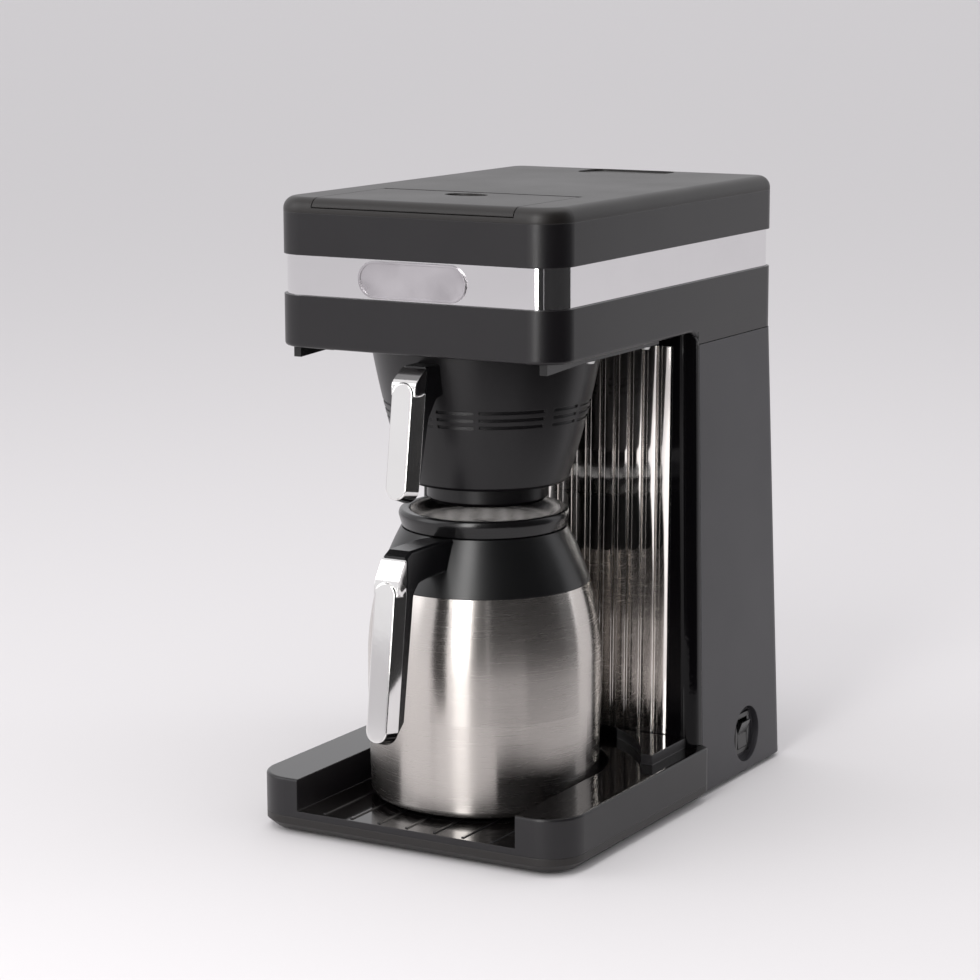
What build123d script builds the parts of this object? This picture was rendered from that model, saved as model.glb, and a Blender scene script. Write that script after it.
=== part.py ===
# Drip coffee maker with a tall head on a rear tower, a pull-out brew funnel and a thermal carafe.
# Millimetres, +Z up, front towards -Y, origin under the middle of the whole machine on the table.
import math
import os

from build123d import *

os.makedirs("parts", exist_ok=True)

# Head casing
overall_height = 359.3
head_width = 180.0
head_depth = 273.0
cover_height = 8.3
upper_shell_height = 23.2
band_height = 22.3
lower_shell_height = 28.9
head_front_radius = 18.5
head_rear_radius = 12.0
shell_wall = 3.0
floor_thickness = 2.6
underside_edge_radius = 2.0
band_recess = 1.8
band_thickness = 1.0
cover_edge_radius = 7.0
cover_thickness = 2.9
column_drop = 7.4
column_step = 6.6
bay_corner_radius = 8.0

badge_length = 67.5
badge_height = 20.3
badge_thickness = 1.2
badge_rim = 1.2
badge_rim_height = 0.5
ledge_depth = 3.0
recess_inset = 22.0
recess_width = 58.0
recess_length = 30.0
recess_depth = 1.2

# Tower
tower_depth = 113.0
tower_front_lean = 4.0
tower_side_flare = 5.5
tower_rear_flare = 11.5
tower_front_radius = 8.0
tower_foot = 3.0
tower_wall = 2.8
cover_screw_margin = 12.0
cover_screw_low = 50.0
cover_screw_drop = 19.2
bezel_depth = 8.7
side_panel_return = 30.0
window_side_margin = 12.0
window_top_margin = 8.6
flute_count = 17
flute_face = 5.4
flute_foot = 7.8
flute_depth = 2.0
flute_plate = 2.2
panel_flange = 4.0

# Base
base_side_overhang = 11.15
base_overhang = 11.5
base_front_radius = 22.0
base_rear_radius = 7.0
base_bottom = 2.0
base_seam = 10.8
base_edge_radius = 4.5
base_wall = 3.0
tray_wall_top = 33.0
tray_floor = 14.6
tray_edge_radius = 1.6
arm_width = 30.65
sill_top = 39.0
sill_width = 19.0
rib_count = 7
rib_pitch = 18.0
rib_width = 1.6
rib_height = 0.6
foot_radius = 9.0
foot_inset = 22.0
base_screw_shares = (0.25, 0.65)

# Thermal carafe
carafe_setback = 78.2
pad_thickness = 0.7
pad_radius = 60.0
carafe_foot_radius = 65.4
carafe_radius = 66.8
belly_height = 22.0
shoulder_height = 48.0
shoulder_bulge = 1.9
collar_height = 31.0
collar_radius = 60.2
collar_top_radius = 47.2
collar_wall = 2.2
steel_wall = 1.2
vacuum_gap = 3.8
liner_wall = 0.9
neck_radius = 40.6
lid_height = 10.5
lid_radius = 48.8
lid_rim = 40.5
plug_depth = 15.5
plug_wall = 2.2
brew_hole = 4.2
brew_tube_gap = 12.6
carafe_handle_reach = 118.2
carafe_grip_length = 86.5
carafe_grip_lean = 11.7
carafe_arm_top = 8.8
carafe_grip_width = 17.2
carafe_trim_depth = 10.0
trim_chamfer = 1.8
trim_step = 1.0

# Brew funnel
funnel_setback = 82.0
funnel_gap = 0.4
funnel_height = 90.0
funnel_neck_height = 11.2
funnel_lid_gap = 4.7
funnel_rim_thickness = 1.7
funnel_rim_radius = 66.0
funnel_top_radius = 65.3
funnel_bottom_radius = 46.5
funnel_neck_radius = 34.5
funnel_wall = 2.2
funnel_bulge = 1.2
wing_width = 8.7
wing_length = 96.0
drip_hole = 3.0
groove_rows = 3
groove_drop = 37.2
groove_pitch = 4.2
groove_height = 1.7
groove_depth = 0.9
groove_webs = ((0.0, 3.0), (24.0, 3.0), (66.0, 6.0))
funnel_grip_width = 17.0
funnel_grip_drop = 10.4
funnel_grip_length = 62.8
funnel_grip_lean = 9.1
funnel_grip_setback = 8.8
funnel_trim_depth = 12.0

# Funnel rails
rail_ledge_width = 7.0
rail_side = 5.0
rail_ledge_thickness = 2.0
rail_front = 28.0
rail_length = 110.0
rail_screw_front = 32.0
rail_screw_rear = 12.0
rail_screw_length = 7.0
guide_front = 6.7
guide_width = 4.5
guide_length = 72.0
guide_front_drop = 6.1
guide_rear_drop = 3.1

# Fill lid and its hinge
lid_side_margin = 26.5
lid_opening_rear = 77.0
lid_gap = 0.5
lid_front_lip = 2.8
knuckle_radius = 3.0
hinge_pin_radius = 1.5
hinge_pin_length = 12.0
ear_width = 5.0
post_radius = 4.0
finger_dip_width = 26.0
finger_dip_depth = 8.0

# Water basin and its valve
basin_inset = 8.0
basin_wall = 2.0
basin_lift = 26.4
basin_flange_drop = 1.6
valve_setback = 40.0
valve_bore = 6.0
seat_flange_radius = 9.0
seat_flange_thickness = 2.0
seat_length = 7.0
seat_throat = 3.0
seat_chamber = 4.8
stem_radius = 1.5
stem_travel = 3.0
plug_radius = 4.2
plug_thickness = 2.6
spring_collar_radius = 5.0
spring_height = 17.0
spring_radius = 3.6
spring_wire = 0.5
spring_turns = 6

# Hot water tank
tank_inset = 52.5
tank_radius = 44.0
tank_stand_height = 28.4
tank_flange_drop = 4.6
tank_wall = 1.0
tank_flange_radius = 48.5
tank_flange_thickness = 1.2
gasket_thickness = 1.8
tank_lid_thickness = 6.0
jacket_thickness = 3.4
stand_radius = 33.0
heater_spread = 22.0
heater_tube = 4.0
heater_depth = 205.0
heater_setback = 12.0
heater_stub = 5.0
thermostat_side = 24.0
thermostat_offset = 16.0
thermostat_radius = 8.0
thermostat_height = 7.0
thermostat_flange = 10.0
thermostat_flange_thickness = 1.2
limit_spacing = 30.0
limit_radius = 6.5
limit_height = 6.0
tube_outer = 4.5
tube_bore = 3.0
tube_run_lift = 12.9
spray_port = 30.5
fill_port_side = 25.0
fill_port_offset = 14.0
spray_radius = 36.0
spray_wall = 2.0
spray_plate = 1.4
spray_flange = 4.0
spray_flange_thickness = 1.2
spray_collar = 3.0
spray_jet = 1.3
spray_row_radii = (12.0, 25.0)
spray_row_counts = (6, 12)

# Switch and cord inlet
switch_inset = 43.0
switch_level = 25.0
dish_radius = 17.0
dish_depth = 4.5
rocker_width = 12.0
rocker_height = 18.0
rocker_tilt = 8.0
rocker_depth = 7.6
switch_wall = 2.0
switch_body_depth = 16.0
switch_frame = 1.5
rocker_pivot_depth = 1.5
rocker_pin_radius = 1.2
tab_spacing = 8.0
tab_length = 6.0
tab_width = 4.8
tab_thickness = 0.8
block_setback = 25.0
block_length = 18.0
block_depth = 12.0
block_height = 14.0
terminal_pitch = 5.0
terminal_bore = 1.6
terminal_depth = 3.0
wire_radius = 1.2
inlet_margin = 22.0
inlet_level = 24.0
inlet_bore = 3.8
bushing_lip = 4.0
bushing_lip_thickness = 1.8
bushing_wall = 1.8
bushing_tail = 3.0

# Clearances and fasteners
seam = 0.4
clearance = 0.3
slip = 0.15
running = 0.05
screw_radius = 1.5
screw_head_radius = 2.9
screw_head_height = 1.6

# Places worked out from the sizes
cover_seam = overall_height - cover_height
band_top = cover_seam - upper_shell_height
band_bottom = band_top - band_height
head_underside = band_bottom - lower_shell_height
column_seam = head_underside - column_drop
tower_front = head_depth - tower_depth
column_front = tower_front + column_step
window_width = head_width - 2 * window_side_margin
window_top = head_underside - window_top_margin
rear_cover_width = head_width - 2 * side_panel_return
inlet_side = inlet_margin - rear_cover_width / 2
base_width = head_width + 2 * base_side_overhang
bay_width = base_width - 2 * arm_width
bay_rear_radius = bay_width / 2 + seam
sill_radius = bay_rear_radius + sill_width
funnel_rim_top = head_underside - funnel_gap
rim_bottom = funnel_rim_top - funnel_rim_thickness
funnel_neck_bottom = funnel_rim_top - funnel_height
funnel_bottom = funnel_neck_bottom + funnel_neck_height
groove_middle = funnel_rim_top - groove_drop
wing_reach = funnel_rim_radius + wing_width
rail_ledge_top = rim_bottom - clearance
rail_web = wing_reach + clearance
rail_inner = rail_web - rail_ledge_width
rail_outer = rail_web + rail_side
lid_top = funnel_neck_bottom - funnel_lid_gap
collar_top = lid_top - lid_height
collar_bottom = collar_top - collar_height
carafe_belly_high = collar_bottom - shoulder_height
carafe_belly_low = carafe_belly_high - belly_height
carafe_bottom = tray_floor + rib_height + clearance
basin_bottom = head_underside + basin_lift
basin_flange_top = cover_seam - basin_flange_drop
seat_bottom = basin_bottom - seat_length
tube_run_level = head_underside + tube_run_lift
tower_floor_top = tower_foot + floor_thickness
tank_bottom = tower_floor_top + tank_stand_height
tank_top = head_underside - tank_flange_drop
lid_opening_width = head_width - 2 * lid_side_margin
lid_front_bottom = cover_seam + lid_front_lip
recess_middle = head_depth - recess_inset
switch_setback = head_depth - switch_inset
handle_overhang = carafe_handle_reach - carafe_setback
rear_reach = head_depth + tower_rear_flare
bushing_foot = inlet_level - inlet_bore - bushing_lip
bushing_share = (head_underside - bushing_foot) / (head_underside - tower_foot)
bushing_seat = head_depth + tower_rear_flare * bushing_share + slip
head_front = (handle_overhang - bushing_seat - bushing_lip_thickness) / 2
carafe_y = head_front + carafe_setback
funnel_y = head_front + funnel_setback
tank_y = head_front + head_depth - tank_inset
valve_y = head_front + valve_setback
base_front = head_front - base_overhang
bezel_rear = head_front + tower_front + bezel_depth
platform_rear = bezel_rear - clearance
tank_lid_bottom = tank_top + tank_flange_thickness + gasket_thickness
tank_lid_top = tank_lid_bottom + tank_lid_thickness
stem_top = overall_height - cover_thickness - post_radius + slip
heater_y = tank_y + heater_setback
thermostat_y = tank_y - thermostat_offset
hinge_y = head_front + lid_opening_rear - lid_gap - knuckle_radius
hinge_z = overall_height - knuckle_radius
side_view = Plane.YZ
huge = 2 * (head_depth + overall_height)


def back(distance):
    # A Y value, given as the distance behind the head's front face.
    return head_front + distance


def plan(level, front, rear, half_width, front_radius, rear_radius):
    # A rectangle seen from above with its own radii at the front and rear corners.
    with BuildSketch(Plane.XY.offset(level)) as outline:
        with Locations((0, (front + rear) / 2)):
            Rectangle(2 * half_width, rear - front)
        fillet(outline.vertices().group_by(Axis.Y)[0], front_radius)
        fillet(outline.vertices().group_by(Axis.Y)[-1], rear_radius)
    return outline.sketch


def head_plan(level, inset):
    return plan(
        level,
        back(inset),
        back(head_depth - inset),
        head_width / 2 - inset,
        max(head_front_radius - inset, 1.0),
        max(head_rear_radius - inset, 1.0),
    )


def tower_plan(level, inset):
    # The tower widens towards its foot at both sides and the rear, and leans out at the front.
    share = (head_underside - level) / (head_underside - tower_foot)
    return plan(
        level,
        back(tower_front - tower_front_lean * share + inset),
        back(head_depth + tower_rear_flare * share - inset),
        head_width / 2 + tower_side_flare * share - inset,
        max(tower_front_radius - inset, 1.0),
        max(head_rear_radius - inset, 1.0),
    )


def tower_solid(low, high, inset):
    with BuildPart() as body:
        add(tower_plan(low, inset))
        add(tower_plan(high, inset))
        loft()
    return body.part


def block(x_range, y_range, z_range):
    # A plain box between two corners, used to cut or to keep a region.
    with BuildPart() as body:
        with BuildSketch(Plane.XY.offset(z_range[0])):
            with Locations((sum(x_range) / 2, sum(y_range) / 2)):
                Rectangle(x_range[1] - x_range[0], y_range[1] - y_range[0])
        extrude(amount=z_range[1] - z_range[0])
    return body.part


def rod(centre, radius, length, direction=(0, 0, 1)):
    # A straight round bar from its centre point at one end along a direction.
    with BuildPart() as body:
        with BuildSketch(Plane(origin=centre, z_dir=direction)):
            Circle(radius)
        extrude(amount=length)
    return body.part


def turned(points, centre_y):
    # A round piece from a closed outline of radius and height about an upright axis.
    with BuildPart() as body:
        with BuildSketch(Plane(origin=(0, centre_y, 0), x_dir=(1, 0, 0), z_dir=(0, -1, 0))):
            with BuildLine():
                Polyline(*points, close=True)
            make_face()
        revolve(axis=Axis((0, centre_y, 0), (0, 0, 1)))
    return body.part


def side_slab(points, half_width):
    # A side outline in Y and Z made into a slab about the middle plane.
    with BuildPart() as body:
        with BuildSketch(side_view):
            with BuildLine():
                Polyline(*points, close=True)
            make_face()
        extrude(amount=half_width, both=True)
    return body.part


def tube(points, radius, outer, bore):
    # A tube of straight runs and tangent bends.
    with BuildPart() as body:
        with BuildLine() as path:
            FilletPolyline(*points, radius=radius)
        start = Plane(origin=path.line @ 0, z_dir=path.line % 0)
        with BuildSketch(start):
            Circle(outer)
            if bore:
                Circle(bore, mode=Mode.SUBTRACT)
        sweep(path=path.line)
    return body.part


def screw(head_centre, length, direction):
    # A pan head screw whose shank runs from the head's seat along a direction.
    with BuildPart() as body:
        add(rod(head_centre, screw_radius - running, length, direction))
        opposite = tuple(-value for value in direction)
        add(rod(head_centre, screw_head_radius, screw_head_height, opposite))
    return body.part


def save(piece, name):
    piece.part.label = name
    export_step(piece.part, "parts/" + name + ".step")


# Base plate with its rim, and the bottom cover of the tower behind it
base_screw_places = [
    (side * base_width / 4, base_front + share * base_width)
    for side in (-1, 1)
    for share in base_screw_shares
]
with BuildPart() as base_plate:
    add(plan(base_bottom, base_front, platform_rear, base_width / 2, base_front_radius, base_rear_radius))
    extrude(amount=base_seam - base_bottom)
    chamfer(base_plate.faces().sort_by(Axis.Z)[0].edges(), base_edge_radius, base_edge_radius * 1.2)
    extrude(
        to_extrude=plan(
            base_bottom + floor_thickness + base_edge_radius,
            base_front + base_wall,
            platform_rear - base_wall,
            base_width / 2 - base_wall,
            base_front_radius - base_wall,
            base_rear_radius - base_wall,
        ),
        amount=base_seam,
        mode=Mode.SUBTRACT,
    )
    extrude(to_extrude=tower_plan(tower_foot, tower_wall + clearance), amount=floor_thickness)
    for x, y in base_screw_places:
        add(rod((x, y, 0), screw_radius, base_seam), mode=Mode.SUBTRACT)
save(base_plate, "base_plate")

foot_places = [
    (side * (base_width / 2 - foot_inset), y, base_bottom)
    for side in (-1, 1)
    for y in (base_front + foot_inset, platform_rear - foot_inset)
] + [(side * (head_width / 2 - foot_inset), back(rear_reach - foot_inset), tower_foot) for side in (-1, 1)]
with BuildPart() as rubber_feet:
    for x, y, top in foot_places:
        add(rod((x, y, 0), foot_radius, top))
save(rubber_feet, "rubber_feet")

with BuildPart() as base_screws:
    for x, y in base_screw_places:
        add(screw((x, y, base_bottom), tray_floor - base_bottom - floor_thickness, (0, 0, 1)))
save(base_screws, "base_screws")

# Drip tray platform with two arms, a ribbed floor and a shelf that follows the carafe
with BuildPart() as drip_tray:
    add(plan(base_seam, base_front, platform_rear, base_width / 2, base_front_radius, base_rear_radius))
    extrude(amount=tray_wall_top - base_seam)
    fillet(drip_tray.faces().sort_by(Axis.Z)[-1].edges(), tray_edge_radius)
    shelf_front = carafe_y + bay_width / 4
    add(block((-head_width / 2, head_width / 2), (shelf_front, platform_rear), (tray_wall_top - 1, sill_top)))
    add(rod((0, carafe_y, tray_wall_top), sill_radius, sill_top), mode=Mode.SUBTRACT)
    add(rod((0, carafe_y, tray_floor), bay_rear_radius, sill_top), mode=Mode.SUBTRACT)
    front_bay = ((-bay_width / 2, bay_width / 2), (base_front - 1, carafe_y), (tray_floor, sill_top + 1))
    add(block(*front_bay), mode=Mode.SUBTRACT)
    add(tower_solid(tower_foot, sill_top + 1, -clearance), mode=Mode.SUBTRACT)
    for side in (-1, 1):
        arm_middle = side * (bay_width + arm_width) / 2
        arm_half = arm_width / 2 - base_wall
        hollow = (arm_middle - arm_half, arm_middle + arm_half)
        under_arm = (base_front + base_front_radius, back(tower_front) - arm_width)
        add(block(hollow, under_arm, (0, tray_wall_top - base_wall)), mode=Mode.SUBTRACT)
    for index in range(rib_count):
        x = (index - (rib_count - 1) / 2) * rib_pitch
        rear = carafe_y + math.sqrt((bay_rear_radius - rib_width) ** 2 - x**2)
        rib_x = (x - rib_width / 2, x + rib_width / 2)
        add(block(rib_x, (base_front + base_wall, rear), (tray_floor, tray_floor + rib_height)))
    for x, y in base_screw_places:
        add(rod((x, y, 0), screw_radius, tray_floor - floor_thickness + seam), mode=Mode.SUBTRACT)
save(drip_tray, "drip_tray")

# Head: lower shell with the tower collar, chrome band, badge, upper shell
spray_hole = spray_radius + clearance
rail_middle = (rail_web + rail_outer) / 2
rail_screw_setbacks = (rail_front + rail_screw_front, rail_front + rail_length - rail_screw_rear)
rail_screw_places = [(side * rail_middle, back(y)) for side in (-1, 1) for y in rail_screw_setbacks]

with BuildPart() as bay_space:
    below_head = [
        (back(-1), head_underside),
        (back(column_front), head_underside),
        (back(column_front), column_seam - 1),
        (back(-1), column_seam - 1),
    ]
    add(side_slab(below_head, head_width))
    upper_edges = bay_space.edges().filter_by(Axis.X).group_by(Axis.Z)[-1]
    fillet(upper_edges.sort_by(Axis.Y)[-1], bay_corner_radius - slip)

with BuildPart() as column_well:
    extrude(to_extrude=head_plan(column_seam, shell_wall), amount=huge)
    add(block((-huge, huge), (back(column_front + shell_wall), huge), (0, huge)), mode=Mode.INTERSECT)

with BuildPart() as head_lower_shell:
    add(head_plan(column_seam, 0))
    extrude(amount=band_bottom - column_seam)
    add(bay_space.part, mode=Mode.SUBTRACT)
    floor_level = head_underside + floor_thickness
    extrude(to_extrude=head_plan(floor_level, shell_wall), amount=huge, mode=Mode.SUBTRACT)
    add(column_well.part, mode=Mode.SUBTRACT)
    add(rod((0, funnel_y, 0), spray_hole, huge), mode=Mode.SUBTRACT)
    for x, y in rail_screw_places:
        add(rod((x, y, 0), screw_radius, head_underside + huge), mode=Mode.SUBTRACT)
    outer_bottom = head_lower_shell.edges().filter_by_position(Axis.Z, head_underside, head_underside)
    front_edges = outer_bottom.filter_by_position(Axis.Y, back(-1), back(head_front_radius + 1))
    fillet(front_edges, underside_edge_radius)
save(head_lower_shell, "head_lower_shell")

# Tower skin: gloss bezel in front, two matt side panels and a rear cover
tower_head = head_underside - clearance
tower_skin = tower_solid(tower_foot, tower_head, 0) - tower_solid(tower_foot, tower_head, tower_wall)
panel_top = column_seam - seam
with BuildPart() as tower_bezel:
    add(tower_skin)
    add(block((-huge, huge), (-huge, bezel_rear), (base_seam + clearance, huge)), mode=Mode.INTERSECT)
    window = (-window_width / 2, window_width / 2)
    add(block(window, (-huge, bezel_rear + 1), (sill_top + clearance, window_top)), mode=Mode.SUBTRACT)
    lowered_head = head_lower_shell.part.moved(Location((0, -clearance, -clearance)))
    add(lowered_head, mode=Mode.SUBTRACT)
save(tower_bezel, "tower_bezel")

half_cover = rear_cover_width / 2
side_range = (bezel_rear + seam, huge)
with BuildPart() as side_panel_left:
    add(tower_skin)
    add(block((-huge, -half_cover - seam), side_range, (tower_foot, panel_top)), mode=Mode.INTERSECT)
save(side_panel_left, "side_panel_left")

foot_share = (head_underside - switch_level) / (head_underside - tower_foot)
panel_face = head_width / 2 + tower_side_flare * foot_share
dish_floor = panel_face - dish_depth
switch_y = back(switch_setback)
with BuildPart() as side_panel_right:
    add(tower_skin)
    add(block((half_cover + seam, huge), side_range, (tower_foot, panel_top)), mode=Mode.INTERSECT)
    boss_start = dish_floor - tower_wall
    boss = rod((boss_start, switch_y, switch_level), dish_radius + tower_wall, dish_depth, (1, 0, 0))
    plate_top = tower_floor_top + clearance
    add(boss - block((0, huge), (-huge, huge), (-huge, plate_top)))
    add(rod((dish_floor, switch_y, switch_level), dish_radius, huge, (1, 0, 0)), mode=Mode.SUBTRACT)
    hole_half = (rocker_width / 2 + switch_wall, rocker_height / 2 + switch_wall)
    hole = (
        (boss_start - 1, panel_face),
        (switch_y - hole_half[0], switch_y + hole_half[0]),
        (switch_level - hole_half[1], switch_level + hole_half[1]),
    )
    add(block(*hole), mode=Mode.SUBTRACT)
save(side_panel_right, "side_panel_right")

cover_screw_side = half_cover - cover_screw_margin
cover_screw_levels = (cover_screw_low, column_seam - cover_screw_drop)
cover_screw_places = [(side * cover_screw_side, level) for side in (-1, 1) for level in cover_screw_levels]


def tower_rear(level):
    share = (head_underside - level) / (head_underside - tower_foot)
    return back(head_depth + tower_rear_flare * share)


with BuildPart() as rear_cover:
    add(tower_skin)
    add(block((-half_cover, half_cover), (tank_y, huge), (tower_foot, panel_top)), mode=Mode.INTERSECT)
    inlet_hole = inlet_bore + bushing_wall + slip + running
    add(rod((inlet_side, tank_y, inlet_level), inlet_hole, huge, (0, 1, 0)), mode=Mode.SUBTRACT)
    for x, level in cover_screw_places:
        add(rod((x, tank_y, level), screw_radius, huge, (0, 1, 0)), mode=Mode.SUBTRACT)
save(rear_cover, "rear_cover")

with BuildPart() as rear_cover_screws:
    for x, level in cover_screw_places:
        seat = tower_rear(level - screw_head_radius) + running
        add(screw((x, seat, level), 2 * tower_wall, (0, -1, 0)))
save(rear_cover_screws, "rear_cover_screws")

# Bushing that lines the cord inlet
with BuildPart() as cord_bushing:
    flange_y = back(bushing_seat)
    lip_radius = inlet_bore + bushing_lip
    add(rod((inlet_side, flange_y, inlet_level), lip_radius, bushing_lip_thickness, (0, 1, 0)))
    tail_length = tower_wall + bushing_tail
    tail_start = (inlet_side, flange_y - tail_length, inlet_level)
    add(rod(tail_start, inlet_bore + bushing_wall, tail_length, (0, 1, 0)))
    bore_start = (inlet_side, flange_y - tail_length - 1, inlet_level)
    add(rod(bore_start, inlet_bore, 2 * tail_length, (0, 1, 0)), mode=Mode.SUBTRACT)
save(cord_bushing, "cord_bushing")

# Mirror panel with upright flutes, leaning with the tower front
lean = tower_front_lean / (head_underside - tower_foot)
panel_bottom = sill_top + clearance
panel_bottom_share = (head_underside - panel_bottom) / (head_underside - tower_foot)
panel_face_y = back(tower_front - tower_front_lean * panel_bottom_share) + tower_wall + slip
flute_pitch = window_width / flute_count
panel_plane = Plane(origin=(0, panel_face_y, panel_bottom), x_dir=(1, 0, 0), z_dir=(0, lean, 1))
with BuildPart() as fluted_panel:
    half_panel = window_width / 2 + panel_flange
    outline_points = [(half_panel, flute_plate), (-half_panel, flute_plate), (-half_panel, 0)]
    for index in range(flute_count):
        middle = (index - (flute_count - 1) / 2) * flute_pitch
        outline_points += [
            (middle - flute_foot / 2, 0),
            (middle - flute_face / 2, -flute_depth),
            (middle + flute_face / 2, -flute_depth),
            (middle + flute_foot / 2, 0),
        ]
    outline_points.append((half_panel, 0))
    with BuildSketch(panel_plane):
        with BuildLine():
            Polyline(*outline_points, close=True)
        make_face()
    extrude(amount=window_top - panel_bottom - clearance)
save(fluted_panel, "fluted_panel")

with BuildPart() as chrome_band:
    extrude(to_extrude=head_plan(band_bottom, band_recess), amount=band_top - band_bottom)
    inner_band = head_plan(band_bottom, band_recess + band_thickness)
    extrude(to_extrude=inner_band, amount=band_top - band_bottom, mode=Mode.SUBTRACT)
save(chrome_band, "chrome_band")

# Blank badge with a raised rim, centred on the front of the band
badge_middle = (0, back(band_recess), (band_bottom + band_top) / 2)
badge_plane = Plane(origin=badge_middle, x_dir=(1, 0, 0), z_dir=(0, -1, 0))
with BuildPart() as badge_plate:
    with BuildSketch(badge_plane):
        SlotOverall(badge_length, badge_height)
    extrude(amount=badge_thickness)
    with BuildSketch(badge_plane.offset(badge_thickness)):
        SlotOverall(badge_length - 2 * badge_rim, badge_height - 2 * badge_rim)
    extrude(amount=-badge_rim_height, mode=Mode.SUBTRACT)
save(badge_plate, "badge_plate")

with BuildPart() as head_upper_shell:
    extrude(to_extrude=head_plan(band_top, 0), amount=cover_seam - band_top)
    extrude(to_extrude=head_plan(band_top, shell_wall), amount=cover_seam - band_top, mode=Mode.SUBTRACT)
    ledge_top = basin_flange_top - basin_wall
    extrude(to_extrude=head_plan(ledge_top - basin_wall, shell_wall - seam), amount=basin_wall)
    extrude(to_extrude=head_plan(band_top, shell_wall + ledge_depth), amount=huge, mode=Mode.SUBTRACT)
save(head_upper_shell, "head_upper_shell")

# Top cover with its soft edge, the opening under the fill lid, hinge ears and a shallow rear recess
with BuildPart() as cover_form:
    extrude(to_extrude=head_plan(cover_seam, 0), amount=overall_height - cover_seam)
    fillet(cover_form.faces().sort_by(Axis.Z)[-1].edges(), cover_edge_radius)
with BuildPart() as cover_inside:
    inside_plan = head_plan(cover_seam, cover_thickness)
    extrude(to_extrude=inside_plan, amount=overall_height - cover_thickness - cover_seam)
    fillet(cover_inside.faces().sort_by(Axis.Z)[-1].edges(), cover_edge_radius - cover_thickness)
lid_half = lid_opening_width / 2
ear_top = overall_height - cover_thickness
pin_bore = hinge_pin_radius + running
with BuildPart() as top_cover:
    add(cover_form.part)
    add(cover_inside.part, mode=Mode.SUBTRACT)
    opening = ((-lid_half, lid_half), (back(-1), back(lid_opening_rear)), (lid_front_bottom, huge))
    add(block(*opening), mode=Mode.SUBTRACT)
    for side in (-1, 1):
        ear_x = sorted((side * lid_half, side * (lid_half + ear_width)))
        ear_y = (hinge_y - knuckle_radius - 1, hinge_y + knuckle_radius + 1)
        add(block(ear_x, ear_y, (hinge_z - knuckle_radius - 1, ear_top + seam)))
    ear_reach = lid_half + ear_width + 1
    add(rod((-ear_reach, hinge_y, hinge_z), pin_bore, 2 * ear_reach, (1, 0, 0)), mode=Mode.SUBTRACT)
    with BuildSketch(Plane.XY.offset(overall_height)):
        with Locations((0, back(recess_middle))):
            RectangleRounded(recess_width, recess_length, recess_length / 3)
    extrude(amount=-recess_depth, mode=Mode.SUBTRACT)
save(top_cover, "top_cover")

with BuildPart() as fill_lid:
    add(cover_form.part)
    add(cover_inside.part, mode=Mode.SUBTRACT)
    lid_side = lid_half - lid_gap
    panel = ((-lid_side, lid_side), (back(-1), hinge_y), (lid_front_bottom + lid_gap, huge))
    add(block(*panel), mode=Mode.INTERSECT)
    knuckle = rod((-lid_side, hinge_y, hinge_z), knuckle_radius, 2 * lid_side, (1, 0, 0))
    add(knuckle)
    for side in (-1, 1):
        start = (side * (lid_side + 1), hinge_y, hinge_z)
        add(rod(start, pin_bore, hinge_pin_length, (-side, 0, 0)), mode=Mode.SUBTRACT)
    add(rod((0, valve_y, stem_top + slip), post_radius, ear_top + seam - stem_top - slip))
    with BuildSketch(Plane.XY.offset(overall_height)):
        with Locations((0, hinge_y - 2 * knuckle_radius - finger_dip_depth)):
            Ellipse(finger_dip_width / 2, finger_dip_depth)
    extrude(amount=-recess_depth, mode=Mode.SUBTRACT)
save(fill_lid, "fill_lid")

with BuildPart() as hinge_pins:
    for side in (-1, 1):
        end = side * (lid_half + ear_width)
        add(rod((end, hinge_y, hinge_z), hinge_pin_radius, ear_width + hinge_pin_length - 1, (-side, 0, 0)))
save(hinge_pins, "hinge_pins")


# Rails that carry the funnel, each with a wedge that leads the funnel in
def rail(side):
    section = [
        (side * rail_inner, rail_ledge_top - rail_ledge_thickness),
        (side * rail_outer, rail_ledge_top - rail_ledge_thickness),
        (side * rail_outer, head_underside),
        (side * rail_web, head_underside),
        (side * rail_web, rail_ledge_top),
        (side * rail_inner, rail_ledge_top),
    ]
    guide = [
        (back(guide_front), head_underside - guide_front_drop),
        (back(guide_front + guide_length), head_underside - guide_rear_drop),
        (back(guide_front + guide_length), head_underside),
        (back(guide_front), head_underside),
    ]
    guide_plane = Plane.YZ.offset(rail_outer - guide_width if side > 0 else -rail_outer)
    with BuildPart() as body:
        with BuildSketch(Plane(origin=(0, back(rail_front), 0), x_dir=(1, 0, 0), z_dir=(0, -1, 0))):
            with BuildLine():
                Polyline(*section, close=True)
            make_face()
        extrude(amount=-rail_length)
        with BuildSketch(guide_plane):
            with BuildLine():
                Polyline(*guide, close=True)
            make_face()
        extrude(amount=guide_width)
        for x, y in rail_screw_places:
            add(rod((x, y, 0), screw_radius, huge), mode=Mode.SUBTRACT)
    return body


funnel_rail_left = rail(-1)
save(funnel_rail_left, "funnel_rail_left")
funnel_rail_right = rail(1)
save(funnel_rail_right, "funnel_rail_right")

with BuildPart() as rail_screws:
    for x, y in rail_screw_places:
        add(screw((x, y, rail_ledge_top - rail_ledge_thickness), rail_screw_length, (0, 0, 1)))
save(rail_screws, "rail_screws")

# Water basin with its valve seat
basin_top = basin_flange_top
with BuildPart() as water_basin:
    extrude(to_extrude=head_plan(basin_bottom, basin_inset), amount=basin_top - basin_bottom)
    flange_plan = head_plan(basin_top - basin_wall, shell_wall + clearance)
    extrude(to_extrude=flange_plan, amount=basin_wall)
    inside = head_plan(basin_bottom + basin_wall, basin_inset + basin_wall)
    extrude(to_extrude=inside, amount=huge, mode=Mode.SUBTRACT)
    add(rod((0, valve_y, 0), valve_bore, huge), mode=Mode.SUBTRACT)
save(water_basin, "water_basin")

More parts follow.
